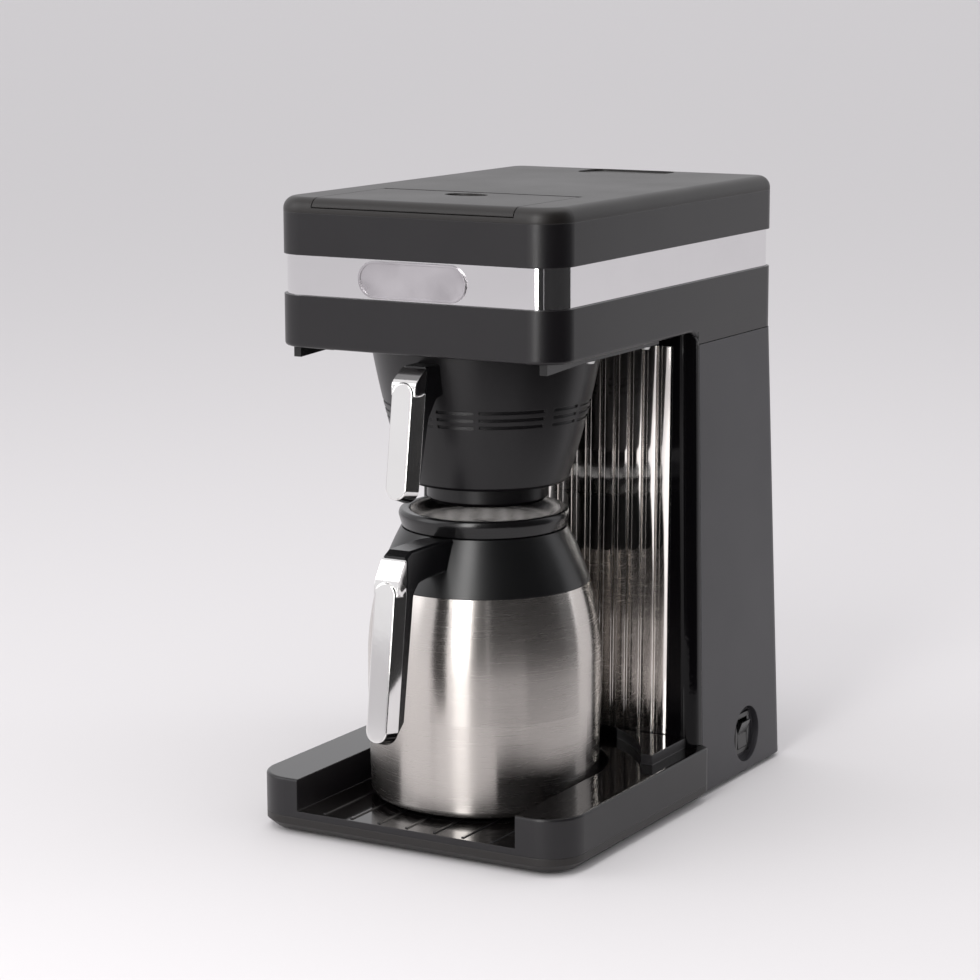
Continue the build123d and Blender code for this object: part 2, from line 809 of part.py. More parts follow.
seat_top = basin_bottom + basin_wall + seat_flange_thickness
with BuildPart() as valve_seat:
    seat_outline = [
        (seat_chamber, seat_bottom),
        (valve_bore - running, seat_bottom),
        (valve_bore - running, basin_bottom + basin_wall),
        (seat_flange_radius, basin_bottom + basin_wall),
        (seat_flange_radius, seat_top),
        (seat_throat, seat_top),
        (seat_throat, basin_bottom),
        (seat_chamber, basin_bottom),
    ]
    add(turned(seat_outline, valve_y))
save(valve_seat, "valve_seat")

plug_bottom = basin_bottom - stem_travel - plug_thickness - seam
collar_level = seat_top + clearance + spring_height + clearance
with BuildPart() as valve_stem:
    add(rod((0, valve_y, plug_bottom), stem_radius, stem_top - plug_bottom))
    add(rod((0, valve_y, collar_level), spring_collar_radius, 1.6))
save(valve_stem, "valve_stem")

with BuildPart() as valve_plug:
    add(rod((0, valve_y, plug_bottom), plug_radius, plug_thickness))
    add(rod((0, valve_y, plug_bottom), stem_radius + running, plug_thickness), mode=Mode.SUBTRACT)
save(valve_plug, "valve_plug")

with BuildPart() as valve_spring:
    coil_height = spring_height - 2 * spring_wire
    coil_start = (0, valve_y, seat_top + clearance + spring_wire)
    with BuildLine():
        coil = Helix(coil_height / spring_turns, coil_height, spring_radius, center=coil_start)
    with BuildSketch(Plane(origin=coil @ 0, z_dir=coil % 0)):
        Circle(spring_wire)
    sweep(path=coil, is_frenet=True)
save(valve_spring, "valve_spring")

# Hot water tank, its stand, jacket, gasket and lid
with BuildPart() as hot_water_tank:
    tank_outline = [
        (0, tank_bottom),
        (tank_radius - 6, tank_bottom),
        (tank_radius, tank_bottom + 6),
        (tank_radius, tank_top),
        (tank_flange_radius, tank_top),
        (tank_flange_radius, tank_top + tank_flange_thickness),
        (tank_radius - tank_wall, tank_top + tank_flange_thickness),
        (tank_radius - tank_wall, tank_bottom + 6.5),
        (tank_radius - 6.5, tank_bottom + tank_wall),
        (0, tank_bottom + tank_wall),
    ]
    add(turned(tank_outline, tank_y))
save(hot_water_tank, "hot_water_tank")


def ring(low, high, outer, inner, centre_y):
    # A plain ring between two levels.
    return turned([(inner, low), (outer, low), (outer, high), (inner, high)], centre_y)


with BuildPart() as tank_stand:
    add(ring(tower_floor_top, tank_bottom, stand_radius, stand_radius - 2, tank_y))
    add(ring(tower_floor_top, tower_floor_top + 2, stand_radius + 8, stand_radius - 2, tank_y))
save(tank_stand, "tank_stand")

with BuildPart() as tank_jacket:
    inner_jacket = tank_radius + slip
    add(ring(tank_bottom + 8, tank_top - clearance, inner_jacket + jacket_thickness, inner_jacket, tank_y))
save(tank_jacket, "tank_jacket")

with BuildPart() as tank_gasket:
    gasket_bottom = tank_top + tank_flange_thickness
    add(ring(gasket_bottom, tank_lid_bottom, tank_flange_radius, tank_radius - tank_wall, tank_y))
save(tank_gasket, "tank_gasket")

fill_port = (fill_port_side, tank_y - fill_port_offset)
spray_port_y = tank_y - spray_port
with BuildPart() as tank_lid:
    add(rod((0, tank_y, tank_lid_bottom), tank_flange_radius, tank_lid_thickness))
    lid_hollow = tank_lid_thickness - floor_thickness
    add(rod((0, tank_y, tank_lid_bottom), tank_radius - 4, lid_hollow), mode=Mode.SUBTRACT)
    add(rod((0, spray_port_y, 0), tube_bore, huge), mode=Mode.SUBTRACT)
    add(rod((*fill_port, 0), tube_bore, huge), mode=Mode.SUBTRACT)
    for x in (-heater_spread / 2, heater_spread / 2):
        add(rod((x, heater_y, 0), heater_tube + running, huge), mode=Mode.SUBTRACT)
save(tank_lid, "tank_lid")

with BuildPart() as heating_element:
    half_spread = heater_spread / 2
    top = tank_lid_top + heater_stub
    low = top - heater_depth
    heater_points = [
        (-half_spread, heater_y, top),
        (-half_spread, heater_y, low),
        (half_spread, heater_y, low),
        (half_spread, heater_y, top),
    ]
    add(tube(heater_points, half_spread - 1, heater_tube, 0))
save(heating_element, "heating_element")

with BuildPart() as thermostat:
    thermostat_foot = (-thermostat_side, thermostat_y, tank_lid_top)
    add(rod(thermostat_foot, thermostat_radius, thermostat_height))
    add(rod(thermostat_foot, thermostat_flange, thermostat_flange_thickness))
save(thermostat, "thermostat")

with BuildPart() as limit_thermostat:
    add(rod((-thermostat_side, thermostat_y + limit_spacing, tank_lid_top), limit_radius, limit_height))
save(limit_thermostat, "limit_thermostat")

# Tubes from the basin to the tank and from the tank to the spray head
with BuildPart() as fill_tube:
    port_x, port_y = fill_port
    route = [
        (0, valve_y, seat_bottom),
        (0, valve_y, tube_run_level),
        (port_x, valve_y + port_x, tube_run_level),
        (port_x, port_y, tube_run_level),
        (port_x, port_y, tank_lid_top),
    ]
    add(tube(route, tube_outer + 1.5, tube_outer, tube_bore))
save(fill_tube, "fill_tube")

spray_top = head_underside + floor_thickness + 4
with BuildPart() as spray_tube:
    route = [
        (0, spray_port_y, tank_lid_top),
        (0, spray_port_y, tube_run_level),
        (0, funnel_y, tube_run_level),
        (0, funnel_y, spray_top),
    ]
    add(tube(route, tube_outer + 0.5, tube_outer, tube_bore))
save(spray_tube, "spray_tube")

with BuildPart() as spray_head:
    plate_bottom = head_underside + seam
    floor_top = head_underside + floor_thickness
    spray_outline = [
        (0, plate_bottom),
        (spray_radius, plate_bottom),
        (spray_radius, floor_top),
        (spray_radius + spray_flange, floor_top),
        (spray_radius + spray_flange, floor_top + spray_flange_thickness),
        (tube_outer + spray_collar, floor_top + spray_flange_thickness),
        (tube_outer + spray_collar, spray_top),
        (tube_bore, spray_top),
        (tube_bore, floor_top),
        (spray_radius - spray_wall, floor_top),
        (spray_radius - spray_wall, plate_bottom + spray_plate),
        (0, plate_bottom + spray_plate),
    ]
    add(turned(spray_outline, funnel_y))
    for radius, count in zip(spray_row_radii, spray_row_counts):
        with Locations((0, funnel_y, head_underside)):
            with PolarLocations(radius, count):
                Cylinder(spray_jet, 2 * (floor_thickness + seam), mode=Mode.SUBTRACT)
save(spray_head, "spray_head")


# Brew funnel: a bulging cone with a rim, two side wings, a neck and three rows of dashed grooves
funnel_plane = Plane(origin=(0, funnel_y, 0), x_dir=(1, 0, 0), z_dir=(0, -1, 0))
funnel_axis = Axis((0, funnel_y, 0), (0, 0, 1))


def cone_middle(offset):
    middle_radius = (funnel_top_radius + funnel_bottom_radius) / 2 + funnel_bulge - offset
    return (middle_radius, (rim_bottom + funnel_bottom) / 2)


def funnel_outside(grow):
    # The outer form of the funnel, grown a little where other pieces have to clear it.
    with BuildPart() as body:
        with BuildSketch(funnel_plane):
            with BuildLine():
                Polyline((0, rim_bottom), (funnel_top_radius + grow, rim_bottom))
                lower_edge = (funnel_bottom_radius + grow, funnel_bottom + 1.6)
                ThreePointArc((funnel_top_radius + grow, rim_bottom), cone_middle(-grow), lower_edge)
                Polyline(
                    lower_edge,
                    (funnel_bottom_radius - 1.6, funnel_bottom),
                    (funnel_neck_radius, funnel_bottom),
                    (funnel_neck_radius, funnel_neck_bottom + 2),
                    (funnel_neck_radius - 2, funnel_neck_bottom),
                    (0, funnel_neck_bottom),
                    (0, rim_bottom),
                )
            make_face()
        revolve(axis=funnel_axis)
    return body.part


with BuildPart() as groove_rings:
    with BuildSketch(funnel_plane):
        for index in range(groove_rows):
            level = groove_middle + (index - (groove_rows - 1) / 2) * groove_pitch
            share = (level - funnel_bottom) / (rim_bottom - funnel_bottom)
            bulge = 4 * funnel_bulge * share * (1 - share)
            radius = funnel_bottom_radius + (funnel_top_radius - funnel_bottom_radius) * share + bulge
            with Locations((radius, level)):
                Rectangle(2 * groove_depth, groove_height)
    revolve(axis=funnel_axis)
    for angle, width in groove_webs:
        for quarter in range(4):
            turn = 90.0 * quarter + angle
            web_plane = Plane(origin=(0, funnel_y, 0), x_dir=(1, 0, 0), z_dir=(0, 0, 1)).rotated((0, 0, turn))
            with BuildSketch(web_plane.offset(funnel_bottom)):
                with Locations((funnel_top_radius, 0)):
                    Rectangle(funnel_bottom_radius, width)
            extrude(amount=rim_bottom - funnel_bottom, mode=Mode.SUBTRACT)

with BuildPart() as brew_funnel:
    add(funnel_outside(0))
    add(ring(rim_bottom, funnel_rim_top, funnel_rim_radius, drip_hole, funnel_y))
    wing_y = (funnel_y - wing_length / 2, funnel_y + wing_length / 2)
    add(block((-wing_reach, wing_reach), wing_y, (rim_bottom, funnel_rim_top)))
    with BuildSketch(funnel_plane):
        with BuildLine():
            inner_top = (funnel_top_radius - funnel_wall, rim_bottom)
            inner_low = (funnel_bottom_radius - funnel_wall, funnel_bottom + funnel_wall)
            Polyline((0, funnel_rim_top + 1), (inner_top[0], funnel_rim_top + 1), inner_top)
            ThreePointArc(inner_top, cone_middle(funnel_wall), inner_low)
            Polyline(
                inner_low,
                (funnel_neck_radius - funnel_wall, funnel_bottom + funnel_wall),
                (funnel_neck_radius - funnel_wall, funnel_neck_bottom + funnel_wall),
                (drip_hole, funnel_neck_bottom + funnel_wall),
                (drip_hole, funnel_neck_bottom - 1),
                (0, funnel_neck_bottom - 1),
                (0, funnel_rim_top + 1),
            )
        make_face()
    revolve(axis=funnel_axis, mode=Mode.SUBTRACT)
    add(groove_rings.part, mode=Mode.SUBTRACT)
save(brew_funnel, "brew_funnel")


# Handles: a bright trim with a raised long face, folded back over the top, on a black core
def grip_trim(bottom, bend, top, width, depth):
    low = Vector(0, *bottom)
    high = Vector(0, *bend)
    along = (high - low).normalized()
    outward = along.cross(Vector(1, 0, 0))
    outward = outward if outward.Y < 0 else outward * -1
    middle = (low + high) * 0.5 - outward * depth
    seat_plane = Plane(origin=middle, x_dir=along, z_dir=outward)
    tip = Vector(0, *top)
    start = high - outward * trim_step - along * 2 * trim_chamfer
    cap_points = [
        start,
        high - outward * trim_step,
        tip,
        high - outward * depth,
        start - outward * (depth - trim_step),
    ]
    with BuildPart() as body:
        add(side_slab([(point.Y, point.Z) for point in cap_points], width / 2))
        cap_face = body.faces().filter_by(lambda face: face.normal_at().Z > 0.3 and face.normal_at().Y < -0.3)
        chamfer(cap_face.edges().filter_by(Axis.X, reverse=True), trim_chamfer)
        with BuildSketch(seat_plane):
            SlotOverall((high - low).length + trim_chamfer, width)
        extrude(amount=depth - trim_chamfer)
        with BuildSketch(seat_plane.offset(depth - trim_chamfer)):
            SlotOverall((high - low).length + trim_chamfer, width)
        extrude(amount=trim_chamfer, taper=45)
    return body


def grip_seat(bottom, bend, top, trim_depth):
    # The line behind a trim that the front of its core follows, just clear of it.
    low = Vector(*bottom)
    high = Vector(*bend)
    tip = Vector(*top)
    along = (high - low).normalized()
    outward = Vector(-along.Y, along.X)
    depth = trim_depth + slip
    line = (low - outward * depth, high - outward * depth, Vector(tip.X + slip, tip.Y - trim_step / 2))
    return [(point.X, point.Y) for point in line]


def grip_core(seat, rear, width, corner_radius, edge_width):
    # The black core of a handle: its front follows the trim, its rear corners are rounded.
    with BuildPart() as body:
        with BuildSketch(side_view) as outline:
            with BuildLine():
                Polyline(*seat, *rear, close=True)
            make_face()
            bends = [
                vertex
                for vertex in outline.vertices()
                if any(abs(vertex.X - y) + abs(vertex.Y - z) < slip for y, z in rear[3:-1])
            ]
            fillet(bends, corner_radius)
        extrude(amount=width / 2, both=True)
        sides = body.faces().filter_by(Axis.X)
        chamfer(sides.edges(), edge_width)
    return body


def placed(points):
    # Points given as the distance behind the head's front face and the height.
    return [(back(distance), height) for distance, height in points]


funnel_grip_top = funnel_rim_top - funnel_grip_drop
funnel_face = funnel_grip_setback + funnel_grip_lean
funnel_trim_ends = placed(
    [
        (-funnel_face, funnel_grip_top - funnel_grip_length),
        (-funnel_grip_setback, funnel_grip_top),
        (4.2, funnel_grip_top + 5.4),
    ]
)
funnel_handle_trim = grip_trim(*funnel_trim_ends, funnel_grip_width, funnel_trim_depth)
save(funnel_handle_trim, "funnel_handle_trim")

funnel_core_rear = placed(
    [
        (18.0, funnel_grip_top + 5.0),
        (30.0, funnel_grip_top + 5.0),
        (30.0, funnel_grip_top - 12),
        (15.0, funnel_grip_top - 14),
        (6.5, funnel_grip_top - 24),
        (-2.4, funnel_grip_top - funnel_grip_length + 6),
    ]
)
with BuildPart() as funnel_handle:
    funnel_seat = grip_seat(*funnel_trim_ends, funnel_trim_depth)
    add(grip_core(funnel_seat, funnel_core_rear, funnel_grip_width - 2.4, 5.0, 1.0).part)
    add(funnel_outside(slip), mode=Mode.SUBTRACT)
save(funnel_handle, "funnel_handle")

# Thermal carafe: steel shell, steel liner, base pad and black collar
carafe_plane = Plane(origin=(0, carafe_y, 0), x_dir=(1, 0, 0), z_dir=(0, -1, 0))
carafe_axis = Axis((0, carafe_y, 0), (0, 0, 1))
steel_bottom = carafe_bottom + pad_thickness
collar_seat = collar_radius - collar_wall - slip
cone_top = collar_top - 6


def shell_line(shrink):
    # The side of the steel body, from its foot to the seam under the collar.
    foot = (carafe_foot_radius - shrink, steel_bottom + 4)
    belly_low = (carafe_radius - shrink, carafe_belly_low)
    belly_high = (carafe_radius - shrink, carafe_belly_high)
    middle_radius = (carafe_radius + collar_radius) / 2 + shoulder_bulge
    shoulder_middle = (middle_radius - shrink, (carafe_belly_high + collar_bottom) / 2)
    shoulder = (collar_radius - shrink, collar_bottom)
    return foot, belly_low, belly_high, shoulder_middle, shoulder


with BuildPart() as carafe_shell:
    foot, belly_low, belly_high, shoulder_middle, shoulder = shell_line(0)
    inner_foot, inner_low, inner_high, inner_middle, inner_shoulder = shell_line(steel_wall)
    with BuildSketch(carafe_plane):
        with BuildLine():
            Line((0, steel_bottom), (carafe_foot_radius - 4, steel_bottom))
            TangentArc((carafe_foot_radius - 4, steel_bottom), foot, tangent=(1, 0))
            Polyline(foot, belly_low, belly_high)
            ThreePointArc(belly_high, shoulder_middle, shoulder)
            Polyline(
                shoulder,
                (collar_seat, collar_bottom),
                (neck_radius, cone_top),
                (neck_radius, collar_top),
                (neck_radius - steel_wall, collar_top),
                (neck_radius - steel_wall, cone_top - 0.6),
                (collar_seat - steel_wall, collar_bottom - steel_wall),
                (inner_shoulder[0] - 1, collar_bottom - steel_wall),
            )
            lower_inner = (inner_shoulder[0] - 1, collar_bottom - steel_wall)
            ThreePointArc(lower_inner, (inner_middle[0] - 0.4, inner_middle[1]), inner_high)
            Polyline(
                inner_high,
                inner_low,
                inner_foot,
                (carafe_foot_radius - 4, steel_bottom + steel_wall),
                (0, steel_bottom + steel_wall),
                (0, steel_bottom),
            )
        make_face()
    revolve(axis=carafe_axis)
save(carafe_shell, "carafe_shell")

liner_radius = carafe_radius - steel_wall - vacuum_gap
liner_neck = neck_radius - steel_wall - running
liner_bottom = steel_bottom + steel_wall + vacuum_gap
with BuildPart() as carafe_liner:
    liner_outline = [
        (0, liner_bottom),
        (liner_radius - 8, liner_bottom),
        (liner_radius, liner_bottom + 8),
        (liner_radius, carafe_belly_high + 8),
        (liner_neck, cone_top - 2),
        (liner_neck, collar_top),
        (liner_neck - liner_wall, collar_top),
        (liner_neck - liner_wall, cone_top - 2.4),
        (liner_radius - liner_wall, carafe_belly_high + 7.6),
        (liner_radius - liner_wall, liner_bottom + 8.4),
        (liner_radius - 8.4, liner_bottom + liner_wall),
        (0, liner_bottom + liner_wall),
    ]
    add(turned(liner_outline, carafe_y))
save(carafe_liner, "carafe_liner")

with BuildPart() as carafe_base_pad:
    add(rod((0, carafe_y, carafe_bottom), pad_radius, pad_thickness))
save(carafe_base_pad, "carafe_base_pad")


def collar_outside(grow):
    with BuildPart() as body:
        with BuildSketch(carafe_plane):
            with BuildLine():
                low = (collar_radius + grow, collar_bottom + slip)
                high = (collar_top_radius + grow, collar_top)
                middle = ((low[0] + high[0]) / 2 + 0.9, (low[1] + high[1]) / 2)
                Line((0, collar_bottom + slip), low)
                ThreePointArc(low, middle, high)
                Polyline(high, (0, collar_top), (0, collar_bottom + slip))
            make_face()
        revolve(axis=carafe_axis)
    return body.part


with BuildPart() as carafe_collar:
    add(collar_outside(0))
    collar_inside = [
        (0, collar_bottom - 1),
        (collar_seat + slip, collar_bottom - 1),
        (collar_seat + slip, collar_bottom + slip),
        (neck_radius + slip, cone_top),
        (neck_radius + slip, collar_top + 1),
        (0, collar_top + 1),
    ]
    add(turned(collar_inside, carafe_y), mode=Mode.SUBTRACT)
save(carafe_collar, "carafe_collar")

carafe_grip_top = collar_top + 2.0 - carafe_arm_top - 5.0
carafe_trim_ends = placed(
    [
        (-handle_overhang, carafe_grip_top - carafe_grip_length),
        (-handle_overhang + carafe_grip_lean, carafe_grip_top),
        (-handle_overhang + carafe_grip_lean + 9.6, carafe_grip_top + 11.0),
    ]
)
carafe_handle_trim = grip_trim(*carafe_trim_ends, carafe_grip_width, carafe_trim_depth)
save(carafe_handle_trim, "carafe_handle_trim")

carafe_core_rear = placed(
    [
        (-handle_overhang + carafe_grip_lean + 15.0, collar_top + 1.4),
        (18.0, collar_top + 1.4),
        (40.0, collar_top - 0.6),
        (40.0, collar_top - 17),
        (4.0, collar_top - 17),
        (-5.0, collar_top - 18),
        (-10.5, collar_top - 23),
        (-21.5, carafe_grip_top - carafe_grip_length + 6),
    ]
)
with BuildPart() as carafe_handle:
    carafe_seat = grip_seat(*carafe_trim_ends, carafe_trim_depth)
    add(grip_core(carafe_seat, carafe_core_rear, carafe_grip_width - 2.0, 5.0, 1.2).part)
    add(collar_outside(slip), mode=Mode.SUBTRACT)
    add(rod((0, carafe_y, collar_bottom), neck_radius, collar_top), mode=Mode.SUBTRACT)
save(carafe_handle, "carafe_handle")

# Carafe lid with its brew-through dish, seal and filling tube
lid_bottom = collar_top + clearance
plug_outer = liner_neck - liner_wall - 2 * clearance
with BuildPart() as carafe_lid:
    lid_outline = [
        (plug_outer, lid_bottom),
        (lid_radius - 1.4, lid_bottom),
        (lid_radius, lid_top - 2.6),
        (lid_radius - 1.0, lid_top),
        (lid_rim, lid_top),
        (lid_rim - 4.5, lid_top - 5.5),
        (lid_rim / 4, lid_top - 9),
        (brew_hole, lid_top - 9),
        (brew_hole, lid_top - 11.8),
        (plug_outer - plug_wall, lid_top - 11.8),
        (plug_outer - plug_wall, lid_bottom - plug_depth),
        (plug_outer, lid_bottom - plug_depth),
    ]
    add(turned(lid_outline, carafe_y))
save(carafe_lid, "carafe_lid")

with BuildPart() as lid_seal:
    seal_low = lid_bottom - plug_depth / 2
    add(ring(seal_low, seal_low + 3, plug_outer + clearance, plug_outer + running, carafe_y))
save(lid_seal, "lid_seal")

with BuildPart() as lid_brew_tube:
    tube_top = lid_top - 11.8
    add(ring(tube_top - 1.6, tube_top, brew_hole + 5, brew_hole - 1, carafe_y))
    add(ring(liner_bottom + liner_wall + brew_tube_gap, tube_top, brew_hole, brew_hole - 1, carafe_y))
save(lid_brew_tube, "lid_brew_tube")

# Rocker switch in the round dish of the right side panel
with BuildPart() as switch_housing:
    body_half = (rocker_width / 2 + switch_wall - slip, rocker_height / 2 + switch_wall - slip)
    body_y = (switch_y - body_half[0], switch_y + body_half[0])
    body_z = (switch_level - body_half[1], switch_level + body_half[1])
    add(block((dish_floor - switch_body_depth, dish_floor), body_y, body_z))
    frame_y = (body_y[0] - switch_frame, body_y[1] + switch_frame)
    frame_z = (body_z[0] - switch_frame, body_z[1] + switch_frame)
    add(block((dish_floor, dish_floor + switch_frame), frame_y, frame_z))
    cavity_y = (switch_y - rocker_width / 2 - clearance, switch_y + rocker_width / 2 + clearance)
    cavity_z = (switch_level - rocker_height / 2 - clearance, switch_level + rocker_height / 2 + clearance)
    cavity_x = (dish_floor - rocker_depth, dish_floor + 2 * switch_frame)
    add(block(cavity_x, cavity_y, cavity_z), mode=Mode.SUBTRACT)
    pivot_x = dish_floor - rocker_pivot_depth
    pin_half = rocker_width / 2 + rocker_pin_radius
    hole_start = (pivot_x, switch_y - pin_half - slip, switch_level)
    pin_hole = rod(hole_start, rocker_pin_radius + running, 2 * (pin_half + slip), (0, 1, 0))
    add(pin_hole, mode=Mode.SUBTRACT)
    switch_rear = dish_floor - switch_body_depth
    for shift in (-tab_spacing / 2, tab_spacing / 2):
        tab_y = (switch_y - tab_width / 2, switch_y + tab_width / 2)
        tab_z = (switch_level + shift - tab_thickness / 2, switch_level + shift + tab_thickness / 2)
        add(block((switch_rear - tab_length, switch_rear), tab_y, tab_z))
save(switch_housing, "switch_housing")

with BuildPart() as power_rocker:
    face_half = rocker_height / 2 - 2 * clearance
    rocker_plane = Plane(origin=(pivot_x, switch_y, switch_level), x_dir=(1, 0, 0), z_dir=(0, -1, 0))
    with BuildSketch(rocker_plane.rotated((0, rocker_tilt, 0))):
        with BuildLine():
            Polyline(
                (-3, -face_half + 1.4),
                (4.6, -face_half),
                (2.8, 0),
                (4.6, face_half),
                (-3, face_half - 1.4),
                close=True,
            )
        make_face()
    extrude(amount=rocker_width / 2, both=True)
    add(rod((pivot_x, switch_y - pin_half, switch_level), rocker_pin_radius, 2 * pin_half, (0, 1, 0)))
save(power_rocker, "power_rocker")

# Terminal block and the leads between switch, block, thermostats and heater
block_x = -head_width / 3
block_y = back(tower_front + block_setback)
block_top = tower_floor_top + block_height
with BuildPart() as terminal_block:
    block_sides = (block_x - block_length / 2, block_x + block_length / 2)
    block_faces = (block_y - block_depth / 2, block_y + block_depth / 2)
    add(block(block_sides, block_faces, (tower_floor_top, block_top)))
    for shift in (-terminal_pitch, 0, terminal_pitch):
        hole_bottom = (block_x + shift, block_y, block_top - terminal_depth)
        add(rod(hole_bottom, terminal_bore, terminal_depth + 2), mode=Mode.SUBTRACT)
save(terminal_block, "terminal_block")

lead_level = tank_lid_top + thermostat_height + 4
lead_front = block_y - block_depth / 2
lead_turn = switch_rear - 14
with BuildPart() as wire_leads:
    first = [
        (switch_rear, switch_y - terminal_pitch, switch_level),
        (lead_turn, switch_y - terminal_pitch, switch_level),
        (lead_turn, lead_front, switch_level),
        (block_x + terminal_pitch, lead_front, switch_level),
        (block_x + terminal_pitch, lead_front, block_top),
    ]
    second = [
        (block_x, block_y, block_top),
        (block_x, block_y, lead_level),
        (-thermostat_side, thermostat_y, lead_level),
        (-thermostat_side, thermostat_y, tank_lid_top + thermostat_height),
    ]
    third = [
        (block_x - terminal_pitch, block_y + 4, block_top),
        (block_x - terminal_pitch, block_y + 4, lead_level + 4),
        (-heater_spread / 2, heater_y, lead_level + 4),
        (-heater_spread / 2, heater_y, tank_lid_top + heater_stub),
    ]
    for route in (first, second, third):
        add(tube(route, 3, wire_radius, 0))
save(wire_leads, "wire_leads")
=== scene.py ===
import math

import bmesh
import bpy
from mathutils import Euler, Matrix, Vector


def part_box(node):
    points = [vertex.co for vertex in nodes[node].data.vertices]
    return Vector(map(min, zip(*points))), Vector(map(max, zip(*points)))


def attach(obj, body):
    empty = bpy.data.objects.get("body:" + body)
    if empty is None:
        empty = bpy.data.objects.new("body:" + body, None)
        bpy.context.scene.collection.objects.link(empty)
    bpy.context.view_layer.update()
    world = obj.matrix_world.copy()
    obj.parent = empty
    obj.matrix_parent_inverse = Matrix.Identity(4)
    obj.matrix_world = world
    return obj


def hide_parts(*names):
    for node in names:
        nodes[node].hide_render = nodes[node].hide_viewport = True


# Drip coffee maker with a pull-out brew funnel and a steel thermal carafe.
# Metres, +Z up, front towards -Y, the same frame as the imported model.

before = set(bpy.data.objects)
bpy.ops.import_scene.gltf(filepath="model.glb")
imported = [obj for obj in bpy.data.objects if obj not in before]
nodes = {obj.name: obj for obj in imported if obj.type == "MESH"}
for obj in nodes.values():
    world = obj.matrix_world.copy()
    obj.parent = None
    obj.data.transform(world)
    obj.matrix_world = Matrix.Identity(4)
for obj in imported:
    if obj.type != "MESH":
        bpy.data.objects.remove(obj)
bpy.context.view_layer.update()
mm = 0.001
print("frame loaded:", len(nodes), "nodes")

# places read from the frame
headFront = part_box("head_upper_shell")[0].y


def uprightAxis(node):
    # the foot of the upright axis through the middle of a round node
    low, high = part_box(node)
    return Vector((0, (low.y + high.y) / 2, 0))


carafeAxis = uprightAxis("carafe_shell")
tankAxis = uprightAxis("hot_water_tank")


# small helpers for node trees
def setInputs(node, values):
    for name, value in values.items():
        node.inputs[name].default_value = value


def addTo(tree, kind, values=None, **settings):
    # adds a node with its settings and the values of its unlinked inputs
    node = tree.nodes.new(kind)
    for name, value in settings.items():
        setattr(node, name, value)
    setInputs(node, values or {})
    return node


class Shader:
    # a material's node tree with short calls for adding and joining nodes
    def __init__(self, name):
        self.material = bpy.data.materials.new(name)
        self.material.use_nodes = True
        self.tree = self.material.node_tree
        self.surface = self.tree.nodes["Principled BSDF"]

    def add(self, kind, values=None, **settings):
        return addTo(self.tree, kind, values, **settings)

    def join(self, output, target):
        self.tree.links.new(output, target)

    def group(self, tree, values):
        node = self.tree.nodes.new("ShaderNodeGroup")
        node.node_tree = tree
        setInputs(node, values)
        return node

    def mixed(self, kind="RGBA", **inputs):
        # a mix of two colours or values, with the constant ones given
        return self.add("ShaderNodeMix", inputs, data_type=kind)

    def roughened(self, height, normal, strength, distance=0.0001):
        # a fine relief over the surface, on top of its rounded edges
        relief = self.add("ShaderNodeBump", {"Strength": strength, "Distance": distance})
        self.join(height, relief.inputs["Height"])
        if normal:
            self.join(normal, relief.inputs["Normal"])
        self.join(relief.outputs["Normal"], self.surface.inputs["Normal"])


def newGroup(name, inputs, outputs):
    # a shader node group with named sockets: (name, kind, value) in, (name, kind) out
    tree = bpy.data.node_groups.new(name, "ShaderNodeTree")
    for label, kind, value in inputs:
        socket = tree.interface.new_socket(name=label, in_out="INPUT", socket_type=kind)
        if value is not None:
            socket.default_value = value
    for label, kind in outputs:
        tree.interface.new_socket(name=label, in_out="OUTPUT", socket_type=kind)
    start = tree.nodes.new("NodeGroupInput")
    end = tree.nodes.new("NodeGroupOutput")
    return tree, start, end


# shared surface effects
def mouldGrainGroup():
    # fine texture of a moulded plastic skin, with cloudy changes of gloss and faint handling marks
    tree, start, end = newGroup(
        "mouldGrain",
        [
            ("Colour", "NodeSocketColor", (0.03, 0.03, 0.03, 1)),
            ("Roughness", "NodeSocketFloat", 0.4),
            ("Grain Size", "NodeSocketFloat", 2600.0),
            ("Cloud Amount", "NodeSocketFloat", 0.06),
            ("Tint Amount", "NodeSocketFloat", 0.15),
        ],
        [("Colour", "NodeSocketColor"), ("Roughness", "NodeSocketFloat"), ("Height", "NodeSocketFloat")],
    )
    link = tree.links.new
    place = addTo(tree, "ShaderNodeTexCoord")
    grain = addTo(tree, "ShaderNodeTexNoise", {"Detail": 2.0, "Roughness": 0.55})
    link(place.outputs["Object"], grain.inputs["Vector"])
    link(start.outputs["Grain Size"], grain.inputs["Scale"])
    cloud = addTo(tree, "ShaderNodeTexNoise", {"Scale": 14.0, "Detail": 3.0, "Roughness": 0.6})
    link(place.outputs["Object"], cloud.inputs["Vector"])
    centred = addTo(tree, "ShaderNodeMath", {1: 0.5}, operation="SUBTRACT")
    link(cloud.outputs["Fac"], centred.inputs[0])
    scaled = addTo(tree, "ShaderNodeMath", operation="MULTIPLY")
    link(centred.outputs[0], scaled.inputs[0])
    link(start.outputs["Cloud Amount"], scaled.inputs[1])
    gloss = addTo(tree, "ShaderNodeMath", {1: 2.0}, operation="MULTIPLY_ADD")
    link(scaled.outputs[0], gloss.inputs[0])
    link(start.outputs["Roughness"], gloss.inputs[2])
    fleck = addTo(tree, "ShaderNodeMath", {1: 0.5}, operation="SUBTRACT")
    link(grain.outputs["Fac"], fleck.inputs[0])
    fleckTint = addTo(tree, "ShaderNodeMath", {2: 1.0}, operation="MULTIPLY_ADD")
    link(fleck.outputs[0], fleckTint.inputs[0])
    link(start.outputs["Tint Amount"], fleckTint.inputs[1])
    tint = addTo(tree, "ShaderNodeVectorMath", operation="SCALE")
    link(start.outputs["Colour"], tint.inputs[0])
    link(fleckTint.outputs[0], tint.inputs["Scale"])
    link(tint.outputs[0], end.inputs["Colour"])
    link(gloss.outputs[0], end.inputs["Roughness"])
    link(grain.outputs["Fac"], end.inputs["Height"])
    return tree


